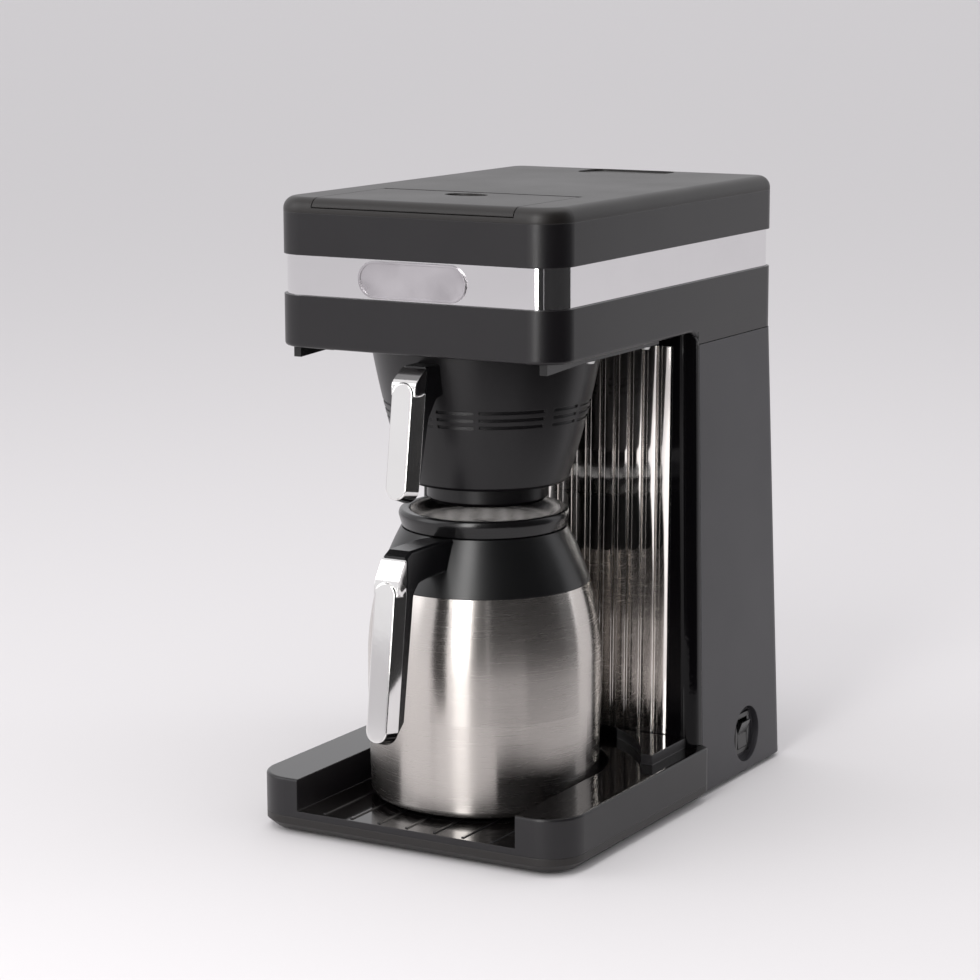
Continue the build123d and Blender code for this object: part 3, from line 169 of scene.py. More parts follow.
def softEdgeGroup():
    # how near a point is to an edge, from 0 on the open face to 1 on the edge itself
    tree, start, end = newGroup(
        "softEdge",
        [("Width", "NodeSocketFloat", 0.0008)],
        [("Normal", "NodeSocketVector"), ("Edge", "NodeSocketFloat")],
    )
    link = tree.links.new
    rounded = addTo(tree, "ShaderNodeBevel", samples=4)
    link(start.outputs["Width"], rounded.inputs["Radius"])
    flat = addTo(tree, "ShaderNodeNewGeometry")
    same = addTo(tree, "ShaderNodeVectorMath", operation="DOT_PRODUCT")
    link(rounded.outputs["Normal"], same.inputs[0])
    link(flat.outputs["Normal"], same.inputs[1])
    edge = addTo(tree, "ShaderNodeMapRange", {"From Min": 0.99, "From Max": 0.8})
    link(same.outputs["Value"], edge.inputs["Value"])
    link(rounded.outputs["Normal"], end.inputs["Normal"])
    link(edge.outputs["Result"], end.inputs["Edge"])
    return tree


def brushedRingsGroup():
    # lathe-turned lines round an upright axis, for steel that was brushed while it spun
    tree, start, end = newGroup(
        "brushedRings",
        [
            ("Centre", "NodeSocketVector", None),
            ("Line Size", "NodeSocketFloat", 1500.0),
            ("Roughness", "NodeSocketFloat", 0.25),
            ("Spread", "NodeSocketFloat", 0.1),
        ],
        [("Roughness", "NodeSocketFloat"), ("Height", "NodeSocketFloat")],
    )
    link = tree.links.new
    place = addTo(tree, "ShaderNodeTexCoord")
    fromAxis = addTo(tree, "ShaderNodeVectorMath", operation="SUBTRACT")
    link(place.outputs["Object"], fromAxis.inputs[0])
    link(start.outputs["Centre"], fromAxis.inputs[1])
    parts = addTo(tree, "ShaderNodeSeparateXYZ")
    link(fromAxis.outputs[0], parts.inputs[0])
    angle = addTo(tree, "ShaderNodeMath", operation="ARCTAN2")
    link(parts.outputs["Y"], angle.inputs[0])
    link(parts.outputs["X"], angle.inputs[1])
    along = addTo(tree, "ShaderNodeMath", {1: 0.0012}, operation="MULTIPLY")
    link(angle.outputs[0], along.inputs[0])
    stretched = addTo(tree, "ShaderNodeCombineXYZ")
    link(along.outputs[0], stretched.inputs["X"])
    link(parts.outputs["Z"], stretched.inputs["Z"])
    lines = addTo(tree, "ShaderNodeTexNoise", {"Detail": 4.0, "Roughness": 0.7})
    link(stretched.outputs[0], lines.inputs["Vector"])
    link(start.outputs["Line Size"], lines.inputs["Scale"])
    change = addTo(tree, "ShaderNodeMath", {1: 0.5}, operation="SUBTRACT")
    link(lines.outputs["Fac"], change.inputs[0])
    rough = addTo(tree, "ShaderNodeMath", operation="MULTIPLY_ADD")
    link(change.outputs[0], rough.inputs[0])
    link(start.outputs["Spread"], rough.inputs[1])
    link(start.outputs["Roughness"], rough.inputs[2])
    link(rough.outputs[0], end.inputs["Roughness"])
    link(lines.outputs["Fac"], end.inputs["Height"])
    return tree


mouldGrain = mouldGrainGroup()
softEdge = softEdgeGroup()
brushedRings = brushedRingsGroup()


def paintedEdgeHighlight(colour):
    # painted highlight on the edges of a plastic: a colour a little lighter than its faces
    return tuple(min(1.0, value * 1.7 + 0.006) for value in colour)


def mouldedPlastic(name, colour, roughness, grainSize, bump, edgeWidth=0.0006, cloud=0.06, specular=0.5):
    # a plastic skin: coloured grain, cloudy gloss, softly rounded edges with a painted highlight a little
    # lighter than the faces
    shader = Shader(name)
    skin = shader.group(
        mouldGrain,
        {"Colour": (*colour, 1), "Roughness": roughness, "Grain Size": grainSize, "Cloud Amount": cloud},
    )
    edge = shader.group(softEdge, {"Width": edgeWidth})
    # the edges are mixed towards a lighter colour, a painted highlight where light catches the rounding
    edgeHighlightMix = shader.mixed(B=(*paintedEdgeHighlight(colour), 1))
    shader.join(skin.outputs["Colour"], edgeHighlightMix.inputs["A"])
    amount = shader.add("ShaderNodeMath", {1: 0.45}, operation="MULTIPLY")
    shader.join(edge.outputs["Edge"], amount.inputs[0])
    shader.join(amount.outputs[0], edgeHighlightMix.inputs["Factor"])
    shader.join(edgeHighlightMix.outputs["Result"], shader.surface.inputs["Base Color"])
    shader.join(skin.outputs["Roughness"], shader.surface.inputs["Roughness"])
    shader.roughened(skin.outputs["Height"], edge.outputs["Normal"], bump)
    setInputs(shader.surface, {"Specular IOR Level": specular})
    return shader.material


def polishedMetal(name, colour, roughness, edgeWidth=0.0006, wave=0.02):
    # plated or polished metal with a faint waviness and a little smear in its gloss
    shader = Shader(name)
    place = shader.add("ShaderNodeTexCoord")
    smear = shader.add("ShaderNodeTexNoise", {"Scale": 30.0, "Detail": 4.0, "Roughness": 0.6})
    shader.join(place.outputs["Object"], smear.inputs["Vector"])
    gloss = shader.add(
        "ShaderNodeMapRange",
        {"From Min": 0.3, "From Max": 0.75, "To Min": roughness * 0.7, "To Max": roughness * 1.6 + 0.01},
    )
    shader.join(smear.outputs["Fac"], gloss.inputs["Value"])
    shader.join(gloss.outputs["Result"], shader.surface.inputs["Roughness"])
    edge = shader.group(softEdge, {"Width": edgeWidth})
    shader.roughened(smear.outputs["Fac"], edge.outputs["Normal"], wave, 0.001)
    tinted = shader.mixed(A=(*colour, 1), B=(*[value * 0.93 for value in colour], 1))
    shader.join(smear.outputs["Fac"], tinted.inputs["Factor"])
    shader.join(tinted.outputs["Result"], shader.surface.inputs["Base Color"])
    setInputs(shader.surface, {"Metallic": 1.0})
    return shader.material


def brushedSteel(name, colour, roughness, centre, bump=0.03, stretch=0.85):
    # steel brushed in rings round an upright axis, whose highlights stretch up and down
    shader = Shader(name)
    rings = shader.group(brushedRings, {"Centre": centre, "Roughness": roughness, "Spread": 0.12})
    place = shader.add("ShaderNodeTexCoord")
    cloud = shader.add("ShaderNodeTexNoise", {"Scale": 22.0, "Detail": 3.0})
    shader.join(place.outputs["Object"], cloud.inputs["Vector"])
    tinted = shader.mixed(A=(*colour, 1), B=(*[value * 0.88 for value in colour], 1))
    shader.join(cloud.outputs["Fac"], tinted.inputs["Factor"])
    shader.join(tinted.outputs["Result"], shader.surface.inputs["Base Color"])
    shader.join(rings.outputs["Roughness"], shader.surface.inputs["Roughness"])
    shader.roughened(rings.outputs["Height"], None, bump)
    fromAxis = shader.add("ShaderNodeVectorMath", {1: centre}, operation="SUBTRACT")
    shader.join(place.outputs["Object"], fromAxis.inputs[0])
    around = shader.add("ShaderNodeVectorMath", {0: (0, 0, 1)}, operation="CROSS_PRODUCT")
    shader.join(fromAxis.outputs[0], around.inputs[1])
    shader.join(around.outputs[0], shader.surface.inputs["Tangent"])
    setInputs(shader.surface, {"Metallic": 1.0, "Anisotropic": stretch, "Anisotropic Rotation": 0.25})
    return shader.material


def glossyTopPlastic(name, colour, topColour, roughness, topRoughness, grainSize, bump):
    # satin side walls with polished, darker faces wherever the surface looks up
    shader = Shader(name)
    skin = shader.group(
        mouldGrain,
        {"Colour": (*colour, 1), "Roughness": roughness, "Grain Size": grainSize, "Cloud Amount": 0.05},
    )
    edge = shader.group(softEdge, {"Width": 0.0010})
    facing = shader.add("ShaderNodeNewGeometry")
    parts = shader.add("ShaderNodeSeparateXYZ")
    shader.join(facing.outputs["Normal"], parts.inputs[0])
    upward = shader.add("ShaderNodeMapRange", {"From Min": 0.55, "From Max": 0.9})
    shader.join(parts.outputs["Z"], upward.inputs["Value"])
    for kind, top, effect, target in (
        ("RGBA", (*topColour, 1), "Colour", "Base Color"),
        ("FLOAT", topRoughness, "Roughness", "Roughness"),
    ):
        blend = shader.mixed(kind, B=top)
        shader.join(upward.outputs["Result"], blend.inputs["Factor"])
        shader.join(skin.outputs[effect], blend.inputs["A"])
        shader.join(blend.outputs["Result"], shader.surface.inputs[target])
    shader.roughened(skin.outputs["Height"], edge.outputs["Normal"], bump)
    return shader.material


# finishes
finishes = {
    "casingSatin": mouldedPlastic("casingSatin", (0.0040, 0.0032, 0.0042), 0.34, 3200.0, 0.2, 0.0008),
    "coverSatin": mouldedPlastic("coverSatin", (0.0060, 0.0045, 0.0038), 0.42, 3200.0, 0.2, 0.0008),
    "panelGrey": mouldedPlastic("panelGrey", (0.024, 0.023, 0.027), 0.46, 3000.0, 0.25, 0.0008),
    "pianoGloss": mouldedPlastic(
        "pianoGloss", (0.0016, 0.0014, 0.0018), 0.09, 900.0, 0.01, 0.0008, cloud=0.02, specular=0.16
    ),
    "trayPlastic": glossyTopPlastic(
        "trayPlastic", (0.0050, 0.0042, 0.0055), (0.0020, 0.0016, 0.0017), 0.36, 0.06, 2600.0, 0.02
    ),
    "baseBrown": mouldedPlastic("baseBrown", (0.0085, 0.0068, 0.0062), 0.42, 2600.0, 0.2, 0.0010),
    "railBlack": mouldedPlastic("railBlack", (0.008, 0.008, 0.008), 0.18, 1800.0, 0.05),
    "funnelSatin": mouldedPlastic("funnelSatin", (0.0038, 0.0032, 0.0040), 0.34, 2600.0, 0.15, specular=0.42),
    "collarSatin": mouldedPlastic("collarSatin", (0.0030, 0.0030, 0.0034), 0.30, 2600.0, 0.12),
    "lidGloss": mouldedPlastic("lidGloss", (0.0030, 0.0028, 0.0032), 0.24, 1600.0, 0.04),
    "handleBlack": mouldedPlastic("handleBlack", (0.0026, 0.0024, 0.0030), 0.24, 2200.0, 0.08),
    "switchBlack": mouldedPlastic("switchBlack", (0.004, 0.004, 0.004), 0.24, 1800.0, 0.06),
    "footRubber": mouldedPlastic("footRubber", (0.012, 0.012, 0.012), 0.75, 1800.0, 0.5),
    "paleSilicone": mouldedPlastic("paleSilicone", (0.62, 0.60, 0.55), 0.45, 1200.0, 0.1),
    "paleNylon": mouldedPlastic("paleNylon", (0.66, 0.64, 0.58), 0.42, 1800.0, 0.15),
    "feltJacket": mouldedPlastic("feltJacket", (0.60, 0.58, 0.52), 0.95, 900.0, 1.0),
    "wireCover": mouldedPlastic("wireCover", (0.45, 0.44, 0.42), 0.5, 1800.0, 0.1),
    "chromeTrim": polishedMetal("chromeTrim", (0.88, 0.87, 0.86), 0.05),
    "chromeBand": polishedMetal("chromeBand", (0.90, 0.89, 0.90), 0.03),
    "mirrorFlutes": polishedMetal("mirrorFlutes", (0.80, 0.77, 0.74), 0.07, 0.0005),
    "badgeSteel": polishedMetal("badgeSteel", (0.47, 0.45, 0.47), 0.34, 0.0005, 0.002),
    "zincScrew": polishedMetal("zincScrew", (0.66, 0.66, 0.65), 0.28, 0.0003),
    "heaterSteel": polishedMetal("heaterSteel", (0.42, 0.40, 0.37), 0.40, 0.0005),
    "thermostatCan": polishedMetal("thermostatCan", (0.75, 0.75, 0.74), 0.25, 0.0005),
    "carafeSteel": brushedSteel("carafeSteel", (0.62, 0.585, 0.555), 0.26, carafeAxis),
    "linerSteel": brushedSteel("linerSteel", (0.62, 0.61, 0.59), 0.30, carafeAxis),
    "tankSteel": brushedSteel("tankSteel", (0.60, 0.59, 0.58), 0.30, tankAxis),
}
nodeFinish = {
    "casingSatin": ["head_lower_shell", "head_upper_shell", "rear_cover"],
    "coverSatin": ["top_cover", "fill_lid"],
    "panelGrey": ["side_panel_left", "side_panel_right"],
    "pianoGloss": ["tower_bezel"],
    "trayPlastic": ["drip_tray"],
    "baseBrown": ["base_plate"],
    "railBlack": ["funnel_rail_left", "funnel_rail_right"],
    "funnelSatin": ["brew_funnel", "water_basin"],
    "collarSatin": ["carafe_collar", "lid_brew_tube"],
    "lidGloss": ["carafe_lid"],
    "handleBlack": ["carafe_handle", "funnel_handle"],
    "switchBlack": ["power_rocker", "switch_housing"],
    "footRubber": ["rubber_feet", "cord_bushing", "carafe_base_pad"],
    "paleSilicone": ["spray_tube", "fill_tube", "valve_seat", "tank_gasket", "lid_seal", "valve_plug"],
    "paleNylon": ["tank_lid", "terminal_block"],
    "feltJacket": ["tank_jacket"],
    "wireCover": ["wire_leads"],
    "chromeTrim": ["carafe_handle_trim", "funnel_handle_trim"],
    "chromeBand": ["chrome_band"],
    "mirrorFlutes": ["fluted_panel"],
    "badgeSteel": ["badge_plate"],
    "zincScrew": ["base_screws", "rear_cover_screws", "rail_screws"],
    "heaterSteel": ["heating_element"],
    "thermostatCan": ["thermostat", "limit_thermostat"],
    "carafeSteel": ["carafe_shell"],
    "linerSteel": ["carafe_liner", "hinge_pins", "valve_stem", "valve_spring"],
    "tankSteel": ["hot_water_tank", "tank_stand", "spray_head"],
}
for finish, names in nodeFinish.items():
    for name in names:
        mesh = nodes[name].data
        mesh.materials.clear()
        mesh.materials.append(finishes[finish])
print("finishes laid on the nodes:", len(finishes))

# helpers for pieces
def newPiece(name, data):
    piece = bpy.data.objects.new(name, data)
    bpy.context.scene.collection.objects.link(piece)
    return piece


def finishPiece(piece, finish, body, node):
    # gives a piece its finish, lets it ride and puts it in the place of a node
    piece.data.materials.clear()
    piece.data.materials.append(finishes[finish])
    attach(piece, body)
    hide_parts(node)
    return piece


def tidyMesh(mesh, angle=35):
    # closes doubles, turns faces outwards and keeps only real edges sharp
    work = bmesh.new()
    work.from_mesh(mesh)
    bmesh.ops.remove_doubles(work, verts=work.verts, dist=0.000002)
    bmesh.ops.recalc_face_normals(work, faces=work.faces)
    work.to_mesh(mesh)
    work.free()
    mesh.shade_smooth()
    mesh.set_sharp_from_angle(angle=math.radians(angle))


def baked(piece):
    # keeps what the modifiers of a piece make as its own plain mesh
    mesh = bpy.data.meshes.new_from_object(piece.evaluated_get(bpy.context.evaluated_depsgraph_get()))
    piece.modifiers.clear()
    mesh.name = piece.name
    piece.data = mesh
    return piece


def evenShade(piece):
    # large faces keep their own direction, so that only the rounded edges turn the light
    modifier = piece.modifiers.new("evenShade", "WEIGHTED_NORMAL")
    modifier.mode = "FACE_AREA"
    modifier.weight = 100
    modifier.keep_sharp = True
    return baked(piece)


def softened(corners, steps=5):
    # rounds each (across, level, rounding) corner of a closed outline
    points = []
    for index, (across, level, rounding) in enumerate(corners):
        here = Vector((across, level))
        before = Vector(corners[index - 1][:2]) - here
        after = Vector(corners[(index + 1) % len(corners)][:2]) - here
        reach = min(rounding, before.length * 0.48, after.length * 0.48)
        if reach <= 0:
            points.append(here)
            continue
        start = here + before.normalized() * reach
        end = here + after.normalized() * reach
        for step in range(steps + 1):
            share = step / steps
            points.append(start * (1 - share) ** 2 + here * (2 * share * (1 - share)) + end * share**2)
    return points


def lathe(name, corners, axis, sides=144):
    # spins a closed outline round an upright axis
    outline = softened(corners)
    count = len(outline)
    vertices = []
    for side in range(sides):
        turn = 2 * math.pi * side / sides
        away = (math.cos(turn), math.sin(turn))
        vertices += [(axis.x + point.x * away[0], axis.y + point.x * away[1], point.y) for point in outline]
    faces = []
    for side in range(sides):
        for index in range(count):
            after = (index + 1) % count
            far = ((side + 1) % sides) * count
            faces.append((side * count + index, side * count + after, far + after, far + index))
    mesh = bpy.data.meshes.new(name)
    mesh.from_pydata(vertices, [], faces)
    tidyMesh(mesh)
    return newPiece(name, mesh)


def newTree(name, inputs):
    # a geometry tree with named inputs: (name, kind, value)
    tree = bpy.data.node_groups.new(name, "GeometryNodeTree")
    tree.interface.new_socket(name="Geometry", in_out="INPUT", socket_type="NodeSocketGeometry")
    for label, kind, value in inputs:
        socket = tree.interface.new_socket(name=label, in_out="INPUT", socket_type=kind)
        if value is not None:
            socket.default_value = value
    tree.interface.new_socket(name="Geometry", in_out="OUTPUT", socket_type="NodeSocketGeometry")
    return tree, tree.nodes.new("NodeGroupInput"), tree.nodes.new("NodeGroupOutput")


def endTree(tree, start, end, geometry):
    # realizes the instances and lays the material on them
    real = addTo(tree, "GeometryNodeRealizeInstances")
    painted = addTo(tree, "GeometryNodeSetMaterial")
    tree.links.new(geometry, real.inputs[0])
    tree.links.new(real.outputs[0], painted.inputs["Geometry"])
    tree.links.new(start.outputs["Material"], painted.inputs["Material"])
    tree.links.new(painted.outputs[0], end.inputs[0])


def grown(name, tree, values, points=((0, 0, 0),)):
    # runs a geometry tree on a few points and keeps its result as a plain mesh
    seed = bpy.data.meshes.new(name + "_points")
    seed.from_pydata(list(points), [], [])
    piece = newPiece(name, seed)
    modifier = piece.modifiers.new("tree", "NODES")
    modifier.node_group = tree
    sockets = {item.name: item.identifier for item in tree.interface.items_tree if item.in_out == "INPUT"}
    for label, value in values.items():
        modifier[sockets[label]] = value
    return baked(piece)


def islands(node):
    # the separate solids in a CAD node, each as its lowest and highest corner
    work = bmesh.new()
    work.from_mesh(nodes[node].data)
    bmesh.ops.remove_doubles(work, verts=work.verts, dist=0.000002)
    left = set(work.verts)
    found = []
    while left:
        stack = [left.pop()]
        group = list(stack)
        while stack:
            for edge in stack.pop().link_edges:
                for vertex in edge.verts:
                    if vertex in left:
                        left.remove(vertex)
                        stack.append(vertex)
                        group.append(vertex)
        low = Vector([min(vertex.co[axis] for vertex in group) for axis in range(3)])
        high = Vector([max(vertex.co[axis] for vertex in group) for axis in range(3)])
        found.append((low, high))
    work.free()
    return sorted(found, key=lambda pair: tuple(round(value, 5) for value in pair[0]))


# mirror panel with upright flutes
panelSpec = {
    "count": 17,
    "face": 5.4 * mm,
    "foot": 7.8 * mm,
    "depth": 2.0 * mm,
    "plate": 2.2 * mm,
    "flange": 4.0 * mm,
    "edge": 0.35 * mm,
    "lean": 0.01463,
    "fan": 120.0,  # how far the faces turn outwards, in degrees for each metre from the middle
    "sink": 1.0 * mm,
    "turn": 180.0,  # the outline of a flute is drawn with its face to the rear
}


def fluteTree():
    # a back plate with a row of upright bars, each turned a little away from the middle
    tree, start, end = newTree(
        "flutes",
        [
            ("Count", "NodeSocketInt", 17),
            ("Pitch", "NodeSocketFloat", 0.009),
            ("Face Width", "NodeSocketFloat", 0.005),
            ("Foot Width", "NodeSocketFloat", 0.007),
            ("Depth", "NodeSocketFloat", 0.002),
            ("Edge Radius", "NodeSocketFloat", 0.0003),
            ("Fan", "NodeSocketFloat", 0.0),
            ("Sink", "NodeSocketFloat", 0.001),
            ("Plate", "NodeSocketFloat", 0.002),
            ("Width", "NodeSocketFloat", 0.16),
            ("Length", "NodeSocketFloat", 0.2),
            ("Material", "NodeSocketMaterial", None),
        ],
    )
    link = tree.links.new
    outline = addTo(tree, "GeometryNodeCurvePrimitiveQuadrilateral", {"Offset": 0}, mode="TRAPEZOID")
    link(start.outputs["Foot Width"], outline.inputs["Bottom Width"])
    link(start.outputs["Face Width"], outline.inputs["Top Width"])
    tall = addTo(tree, "ShaderNodeMath", operation="ADD")
    link(start.outputs["Depth"], tall.inputs[0])
    link(start.outputs["Sink"], tall.inputs[1])
    link(tall.outputs[0], outline.inputs["Height"])
    soft = addTo(tree, "GeometryNodeFilletCurve", {"Count": 3}, mode="POLY")
    link(outline.outputs[0], soft.inputs["Curve"])
    link(start.outputs["Edge Radius"], soft.inputs["Radius"])
    top = addTo(tree, "ShaderNodeCombineXYZ")
    link(start.outputs["Length"], top.inputs["Z"])
    rail = addTo(tree, "GeometryNodeCurvePrimitiveLine")
    link(top.outputs[0], rail.inputs["End"])
    bar = addTo(tree, "GeometryNodeCurveToMesh", {"Fill Caps": True})
    link(rail.outputs[0], bar.inputs["Curve"])
    link(soft.outputs[0], bar.inputs["Profile Curve"])
    reach = addTo(tree, "ShaderNodeMath", {1: 1.0}, operation="SUBTRACT")
    link(start.outputs["Count"], reach.inputs[0])
    half = addTo(tree, "ShaderNodeMath", {1: -0.5}, operation="MULTIPLY")
    link(reach.outputs[0], half.inputs[0])
    first = addTo(tree, "ShaderNodeMath", operation="MULTIPLY")
    link(half.outputs[0], first.inputs[0])
    link(start.outputs["Pitch"], first.inputs[1])
    proud = addTo(tree, "ShaderNodeMath", operation="SUBTRACT")
    link(start.outputs["Sink"], proud.inputs[0])
    link(start.outputs["Depth"], proud.inputs[1])
    recess = addTo(tree, "ShaderNodeMath", {1: 0.5}, operation="MULTIPLY")
    link(proud.outputs[0], recess.inputs[0])
    begin = addTo(tree, "ShaderNodeCombineXYZ")
    link(first.outputs[0], begin.inputs["X"])
    link(recess.outputs[0], begin.inputs["Y"])
    stride = addTo(tree, "ShaderNodeCombineXYZ")
    link(start.outputs["Pitch"], stride.inputs["X"])
    row = addTo(tree, "GeometryNodeMeshLine", mode="OFFSET", count_mode="TOTAL")
    link(start.outputs["Count"], row.inputs["Count"])
    link(begin.outputs[0], row.inputs["Start Location"])
    link(stride.outputs[0], row.inputs["Offset"])
    flutes = addTo(tree, "GeometryNodeInstanceOnPoints")
    link(row.outputs[0], flutes.inputs["Points"])
    link(bar.outputs[0], flutes.inputs["Instance"])
    spot = addTo(tree, "GeometryNodeInputPosition")
    spotParts = addTo(tree, "ShaderNodeSeparateXYZ")
    link(spot.outputs[0], spotParts.inputs[0])
    turned = addTo(tree, "ShaderNodeMath", operation="MULTIPLY_ADD")
    link(spotParts.outputs["X"], turned.inputs[0])
    link(start.outputs["Fan"], turned.inputs[1])
    turned.inputs[2].default_value = math.radians(panelSpec["turn"])
    facing = addTo(tree, "ShaderNodeCombineXYZ")
    link(turned.outputs[0], facing.inputs["Z"])
    link(facing.outputs[0], flutes.inputs["Rotation"])
    size = addTo(tree, "ShaderNodeCombineXYZ")
    link(start.outputs["Width"], size.inputs["X"])
    link(start.outputs["Plate"], size.inputs["Y"])
    link(start.outputs["Length"], size.inputs["Z"])
    plate = addTo(tree, "GeometryNodeMeshCube")
    link(size.outputs[0], plate.inputs["Size"])
    shift = addTo(tree, "ShaderNodeVectorMath", {1: (0, 0.5, 0.5)}, operation="MULTIPLY")
    link(size.outputs[0], shift.inputs[0])
    seated = addTo(tree, "GeometryNodeTransform")
    link(plate.outputs[0], seated.inputs["Geometry"])
    link(shift.outputs[0], seated.inputs["Translation"])
    both = addTo(tree, "GeometryNodeJoinGeometry")
    link(flutes.outputs[0], both.inputs[0])
    link(seated.outputs[0], both.inputs[0])
    endTree(tree, start, end, both.outputs[0])
    return tree


panelLow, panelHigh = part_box("fluted_panel")
panelLength = panelHigh.z - panelLow.z
panelWidth = panelHigh.x - panelLow.x
mirrorPanel = grown(
    "mirrorPanel",
    fluteTree(),
    {
        "Count": panelSpec["count"],
        "Pitch": (panelWidth - 2 * panelSpec["flange"]) / panelSpec["count"],
        "Face Width": panelSpec["face"],
        "Foot Width": panelSpec["foot"],
        "Depth": panelSpec["depth"],
        "Edge Radius": panelSpec["edge"],
        "Fan": math.radians(panelSpec["fan"]),
        "Sink": panelSpec["sink"],
        "Plate": panelSpec["plate"],
        "Width": panelWidth,
        "Length": panelLength,
        "Material": finishes["mirrorFlutes"],
    },
)
panelTilt = Matrix.Rotation(-math.atan(panelSpec["lean"]), 4, "X")
panelSeat = Vector((0, panelLow.y + panelSpec["depth"], panelLow.z))
mirrorPanel.data.transform(Matrix.Translation(panelSeat) @ panelTilt)
tidyMesh(mirrorPanel.data, 50)
finishPiece(mirrorPanel, "mirrorFlutes", "root", "fluted_panel")
print("mirror panel:", panelSpec["count"], "flutes")

# pan head screws with a cross recess
screwSpec = {
    "headRadius": 2.9 * mm,
    "topShare": 0.72,
    "headHeight": 1.6 * mm,
    "shankRadius": 1.5 * mm,
    "slotLength": 3.4 * mm,
    "slotWidth": 0.75 * mm,
    "slotDepth": 1.0 * mm,
    "sides": 28,
}
screwSets = {
    # node: (piece, turn of the head from straight up, axis and end of each screw that carries its head)
    "base_screws": ("baseScrewHeads", (math.pi, 0, 0), 2, 0),
    "rail_screws": ("railScrewHeads", (math.pi, 0, 0), 2, 0),
    "rear_cover_screws": ("rearScrewHeads", (-math.pi / 2, 0, 0), 1, 1),
}


def screwTree():
    # a screw on each given point, with a cone for a head and a cross cut into it
    tree, start, end = newTree(
        "screws",
        [
            ("Head Radius", "NodeSocketFloat", 0.003),
            ("Top Radius", "NodeSocketFloat", 0.002),
            ("Head Height", "NodeSocketFloat", 0.0016),
            ("Shank Radius", "NodeSocketFloat", 0.0015),
            ("Shank Length", "NodeSocketFloat", 0.01),
            ("Slot Size", "NodeSocketVector", (0.0034, 0.0007, 0.002)),
            ("Turn", "NodeSocketVector", (0, 0, 0)),
            ("Sides", "NodeSocketInt", 28),
            ("Material", "NodeSocketMaterial", None),
        ],
    )
    link = tree.links.new
    head = addTo(tree, "GeometryNodeMeshCone")
    link(start.outputs["Sides"], head.inputs["Vertices"])
    link(start.outputs["Top Radius"], head.inputs["Radius Top"])
    link(start.outputs["Head Radius"], head.inputs["Radius Bottom"])
    link(start.outputs["Head Height"], head.inputs["Depth"])
    slot = addTo(tree, "GeometryNodeMeshCube")
    link(start.outputs["Slot Size"], slot.inputs["Size"])
    lift = addTo(tree, "ShaderNodeCombineXYZ")
    link(start.outputs["Head Height"], lift.inputs["Z"])
    cut = head.outputs["Mesh"]
    for turn in (0, math.pi / 2):
        placed = addTo(tree, "GeometryNodeTransform", {"Rotation": (0, 0, turn)})
        link(slot.outputs[0], placed.inputs["Geometry"])
        link(lift.outputs[0], placed.inputs["Translation"])
        carve = addTo(tree, "GeometryNodeMeshBoolean", operation="DIFFERENCE")
        link(cut, carve.inputs["Mesh 1"])
        link(placed.outputs[0], carve.inputs["Mesh 2"])
        cut = carve.outputs["Mesh"]
    shank = addTo(tree, "GeometryNodeMeshCylinder")
    link(start.outputs["Sides"], shank.inputs["Vertices"])
    link(start.outputs["Shank Radius"], shank.inputs["Radius"])
    link(start.outputs["Shank Length"], shank.inputs["Depth"])
    below = addTo(tree, "ShaderNodeMath", {1: -0.5}, operation="MULTIPLY")
    link(start.outputs["Shank Length"], below.inputs[0])
    drop = addTo(tree, "ShaderNodeCombineXYZ")
    link(below.outputs[0], drop.inputs["Z"])
    shankPlaced = addTo(tree, "GeometryNodeTransform")
    link(shank.outputs["Mesh"], shankPlaced.inputs["Geometry"])
    link(drop.outputs[0], shankPlaced.inputs["Translation"])
    whole = addTo(tree, "GeometryNodeJoinGeometry")
    link(cut, whole.inputs[0])
    link(shankPlaced.outputs[0], whole.inputs[0])
    spread = addTo(tree, "GeometryNodeInstanceOnPoints")
    link(start.outputs["Geometry"], spread.inputs["Points"])
    link(whole.outputs[0], spread.inputs["Instance"])
    link(start.outputs["Turn"], spread.inputs["Rotation"])
    endTree(tree, start, end, spread.outputs[0])
    return tree


screws = screwTree()
for node, (pieceName, turn, axis, headEnd) in screwSets.items():
    points = []
    for corners in islands(node):
        seat = (corners[0] + corners[1]) / 2
        seat[axis] = corners[headEnd][axis] + screwSpec["headHeight"] * (-1 if headEnd else 1)
        points.append(tuple(seat))
        shankLength = corners[1][axis] - corners[0][axis] - screwSpec["headHeight"]
    piece = grown(
        pieceName,
        screws,
        {
            "Head Radius": screwSpec["headRadius"],
            "Top Radius": screwSpec["headRadius"] * screwSpec["topShare"],
            "Head Height": screwSpec["headHeight"],
            "Shank Radius": screwSpec["shankRadius"],
            "Shank Length": shankLength,
            "Slot Size": (screwSpec["slotLength"], screwSpec["slotWidth"], 2 * screwSpec["slotDepth"]),
            "Turn": turn,
            "Sides": screwSpec["sides"],
            "Material": finishes["zincScrew"],
        },
        points,
    )
    tidyMesh(piece.data, 30)
    finishPiece(piece, "zincScrew", "root", node)
print("screws:", len(screwSets), "sets")

# carafe lid with a rounded rim and a dished, holed middle
lidSpec = {
    # outline from the foot of the plug outwards: radius, level under the top, rounding
    "outline": [
        (37.85, -25.7, 0.5),
        (37.85, -10.2, 0.3),
        (46.6, -10.2, 0.7),
        (47.6, -7.0, 1.0),
        (48.8, -2.8, 2.0),
        (47.6, 0.0, 2.2),
        (41.4, -0.5, 2.4),
        (36.4, -6.2, 3.0),
        (11.0, -9.2, 4.0),
        (4.2, -9.2, 0.4),
        (4.2, -11.8, 0.2),
        (35.65, -11.8, 0.3),
        (35.65, -25.7, 0.5),
    ],
    "sides": 160,
}
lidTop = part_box("carafe_lid")[1].z
carafeLidTop = lathe(
    "carafeLidTop",
    [(radius * mm, lidTop + level * mm, rounding * mm) for radius, level, rounding in lidSpec["outline"]],
    carafeAxis,
    lidSpec["sides"],
)
finishPiece(carafeLidTop, "lidGloss", "carafe_lid", "carafe_lid")
print("carafe lid turned")

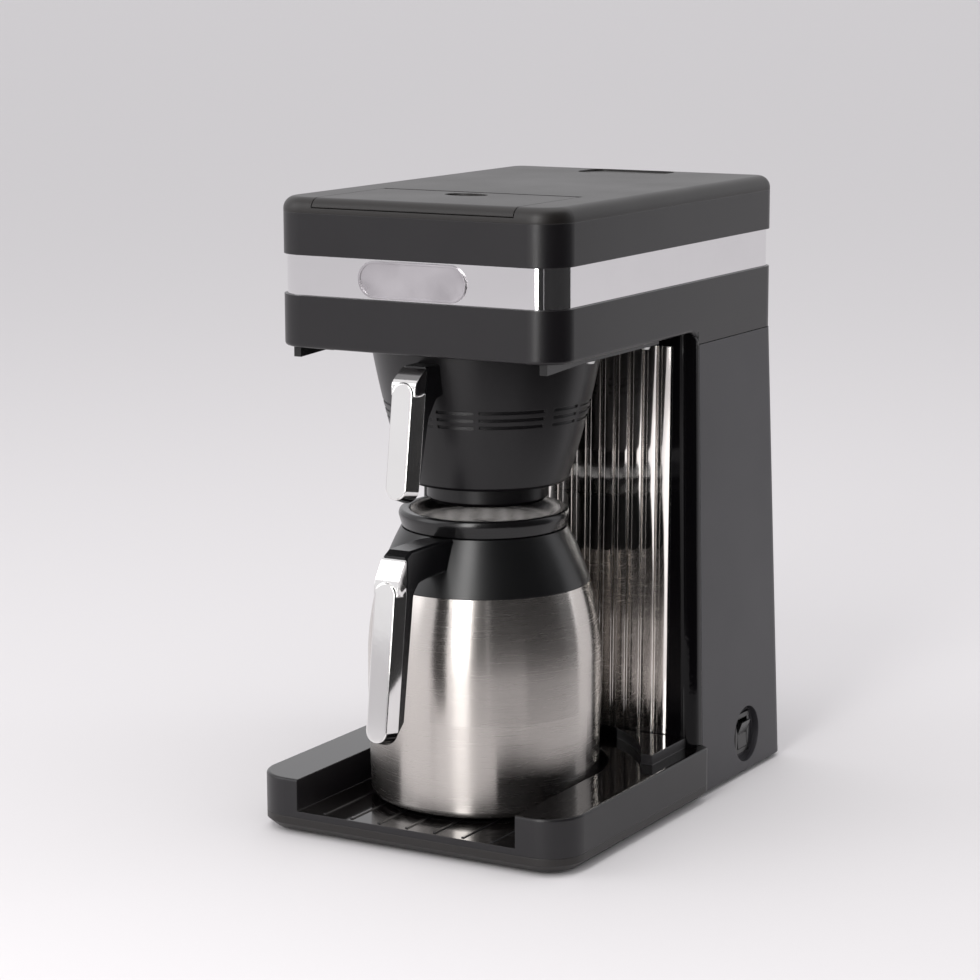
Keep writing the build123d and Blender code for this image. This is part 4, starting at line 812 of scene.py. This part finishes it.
# folded bright trims of the two handles
trimSpec = {
    # behind the long face: how deep, and half the width there
    "section": [(0.0, 5.7), (0.12, 6.25), (0.5, 6.6), (9.4, 8.3), (9.9, 8.0)],
    "capHalfWidth": 7.6,
    "capStep": 1.0,
    "capEdge": 2.0,
    "capBend": 3.0,
    "capLap": 7.0,
    "capTip": 3.6,
    "capRear": 0.5,
    "endRadius": 6.6,
    "endPoints": 14,
}
trims = {
    # node: (piece, body, how far the long face leans back, its height, how deep the trim is)
    "carafe_handle_trim": ("carafeTrim", "carafe", 11.7 * mm, 86.5 * mm, 1.0),
    "funnel_handle_trim": ("funnelTrim", "funnel", 9.1 * mm, 62.8 * mm, 1.15),
}


def trimSlab(work, low, high, depthScale):
    # the raised long face with round ends and slightly flared sides
    along = (high - low).normalized()
    outward = along.cross(Vector((1, 0, 0)))
    outward = outward if outward.y < 0 else -outward
    middle = (low + high) / 2
    halfLength = (high - low).length / 2
    rings = []
    for deep, half in trimSpec["section"]:
        ring = []
        for end in (1, -1):
            for step in range(trimSpec["endPoints"] + 1):
                turn = math.pi * step / trimSpec["endPoints"]
                across = math.cos(turn) * end * half * mm
                up = (halfLength - trimSpec["endRadius"] * mm + math.sin(turn) * half * mm) * end
                spot = middle + along * up + Vector((across, 0, 0)) - outward * deep * mm * depthScale
                ring.append(work.verts.new(spot))
        rings.append(ring)
    for ring, after in zip(rings, rings[1:]):
        for index in range(len(ring)):
            following = (index + 1) % len(ring)
            work.faces.new((ring[index], ring[following], after[following], after[index]))
    work.faces.new(rings[0])
    work.faces.new(rings[-1])
    return along, outward


def handleTrim(name, node, lean, height, depthScale):
    # the raised face and the cap that folds back over the top of the handle
    low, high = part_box(node)
    start = Vector((0, low.y, low.z))
    bend = start + Vector((0, lean, height))
    work = bmesh.new()
    along, outward = trimSlab(work, start, bend, depthScale)
    deepest = trimSpec["section"][-1][0] * mm * depthScale
    front = bend - outward * trimSpec["capStep"] * mm
    tip = Vector((0, high.y, high.z))
    corners = [
        (front - along * trimSpec["capLap"] * mm, 0),
        (front, trimSpec["capBend"] * mm),
        (tip, trimSpec["capTip"] * mm),
        (bend - outward * deepest, trimSpec["capRear"] * mm),
        (front - along * trimSpec["capLap"] * mm - outward * (deepest - trimSpec["capStep"] * mm), 0),
    ]
    outline = softened([(point.y, point.z, rounding) for point, rounding in corners])
    half = trimSpec["capHalfWidth"] * mm
    sides = [[work.verts.new((across, point.x, point.y)) for point in outline] for across in (-half, half)]
    for index in range(len(outline)):
        following = (index + 1) % len(outline)
        work.faces.new((sides[0][index], sides[0][following], sides[1][following], sides[1][index]))
    ends = [work.faces.new(side) for side in sides]
    bmesh.ops.bevel(
        work,
        geom=list({edge for face in ends for edge in face.edges}),
        offset=trimSpec["capEdge"] * mm,
        segments=4,
        profile=0.5,
        affect="EDGES",
        clamp_overlap=True,
    )
    mesh = bpy.data.meshes.new(name)
    work.to_mesh(mesh)
    work.free()
    tidyMesh(mesh, 50)
    return evenShade(newPiece(name, mesh))


for node, (pieceName, body, lean, height, depthScale) in trims.items():
    finishPiece(handleTrim(pieceName, node, lean, height, depthScale), "chromeTrim", body, node)
print("handle trims:", len(trims))

# floor, light and camera
floorSpec = {"size": 60.0, "colour": (0.665, 0.65, 0.658), "roughness": 0.8}
floorMesh = bpy.data.meshes.new("floor")
half = floorSpec["size"] / 2
floorCorners = [(-half, -half, 0), (half, -half, 0), (half, half, 0), (-half, half, 0)]
floorMesh.from_pydata(floorCorners, [], [(0, 1, 2, 3)])
floor = newPiece("floor", floorMesh)
floorShader = Shader("paleFloor")
setInputs(floorShader.surface, {"Base Color": (*floorSpec["colour"], 1), "Roughness": floorSpec["roughness"]})
floorMesh.materials.append(floorShader.material)


def softBox(name, place, target, size, power, colour):
    # a rectangular soft light aimed at a point
    light = bpy.data.lights.new(name, "AREA")
    light.shape = "RECTANGLE"
    light.size, light.size_y = size
    light.energy = power
    light.color = colour
    lamp = newPiece(name, light)
    lamp.location = place
    lamp.rotation_euler = (Vector(target) - Vector(place)).to_track_quat("-Z", "Y").to_euler()
    return lamp


lightSpec = {
    # name: (place, point aimed at, width and height, power, colour)
    "leftWindow": ((-1.6, -1.2, 1.2), (0, 0, 0.18), (1.2, 1.6), 9.0, (0.98, 0.98, 1.0)),
    "frontWindow": ((0.17, -1.36, 0.85), (0, 0, 0.25), (0.40, 1.6), 15.0, (1.0, 0.99, 0.98)),
    "rightStrip": ((1.5, 1.1, 0.8), (0, 0, 0.2), (0.5, 1.6), 3.0, (0.94, 0.96, 1.0)),
    "ceiling": ((0.1, 0.2, 2.0), (0, 0, 0.1), (1.8, 1.8), 7.0, (1.0, 0.98, 0.96)),
}
for name, (place, target, size, power, colour) in lightSpec.items():
    softBox(name, place, target, size, power, colour).visible_camera = False

# black flags stand round the front right, seen only by gloss, and give the bright metal its dark streaks
flagSpec = {
    # degrees from the front towards the right, distance from the middle, and top
    "spans": [(-18.5, -14, 0.52, 0.14), (15, 30, 0.52, 1.3), (31, 68, 0.52, 1.6), (62, 122, 0.40, 1.3)],
    "step": 2.0,
    "colour": (0.02, 0.02, 0.02),
    "roughness": 0.9,
}
flagShader = Shader("blackFlag")
setInputs(flagShader.surface, {"Base Color": (*flagSpec["colour"], 1), "Roughness": flagSpec["roughness"]})
for index, (first, last, away, flagTop) in enumerate(flagSpec["spans"]):
    count = max(1, round((last - first) / flagSpec["step"]))
    turns = [math.radians(first + (last - first) * step / count) for step in range(count + 1)]
    rim = [(away * math.sin(turn), -away * math.cos(turn)) for turn in turns]
    flagMesh = bpy.data.meshes.new(f"flag_{index}")
    flagMesh.from_pydata(
        [(x, y, level) for level in (0, flagTop) for x, y in rim],
        [],
        [(side, side + 1, side + count + 2, side + count + 1) for side in range(count)],
    )
    flagMesh.materials.append(flagShader.material)
    flag = newPiece(f"flag_{index}", flagMesh)
    flag.visible_camera = flag.visible_diffuse = flag.visible_shadow = False

worldSpec = {"colour": (0.97, 0.96, 0.98), "strength": 0.92}
world = bpy.data.worlds.new("studio")
bpy.context.scene.world = world
world.use_nodes = True
background = world.node_tree.nodes["Background"]
setInputs(background, {"Color": (*worldSpec["colour"], 1), "Strength": worldSpec["strength"]})

cameraSpec = {
    "lens": 107.715,
    "sensor": 36.0,
    "azimuth": 30.0,
    "down": 10.449,
    "roll": -0.154,
    "side": 820.3 * mm,
    "forward": -1335.96 * mm,  # in front of the head's front face
    "height": 492.26 * mm,
    "nearest": 50.0 * mm,
}
cameraData = bpy.data.cameras.new("camera")
cameraData.lens = cameraSpec["lens"]
cameraData.sensor_width = cameraSpec["sensor"]
cameraData.clip_start = cameraSpec["nearest"]
camera = newPiece("camera", cameraData)
camera.location = (cameraSpec["side"], headFront + cameraSpec["forward"], cameraSpec["height"])
aim = (math.radians(90 - cameraSpec["down"]), 0, math.radians(cameraSpec["azimuth"]))
turn = Euler(aim, "XYZ").to_matrix()
roll = Euler((0, 0, math.radians(cameraSpec["roll"])), "XYZ").to_matrix()
camera.rotation_euler = (turn @ roll).to_euler()
bpy.context.scene.camera = camera
bpy.context.scene.view_settings.view_transform = "Standard"
print("camera and lights set")
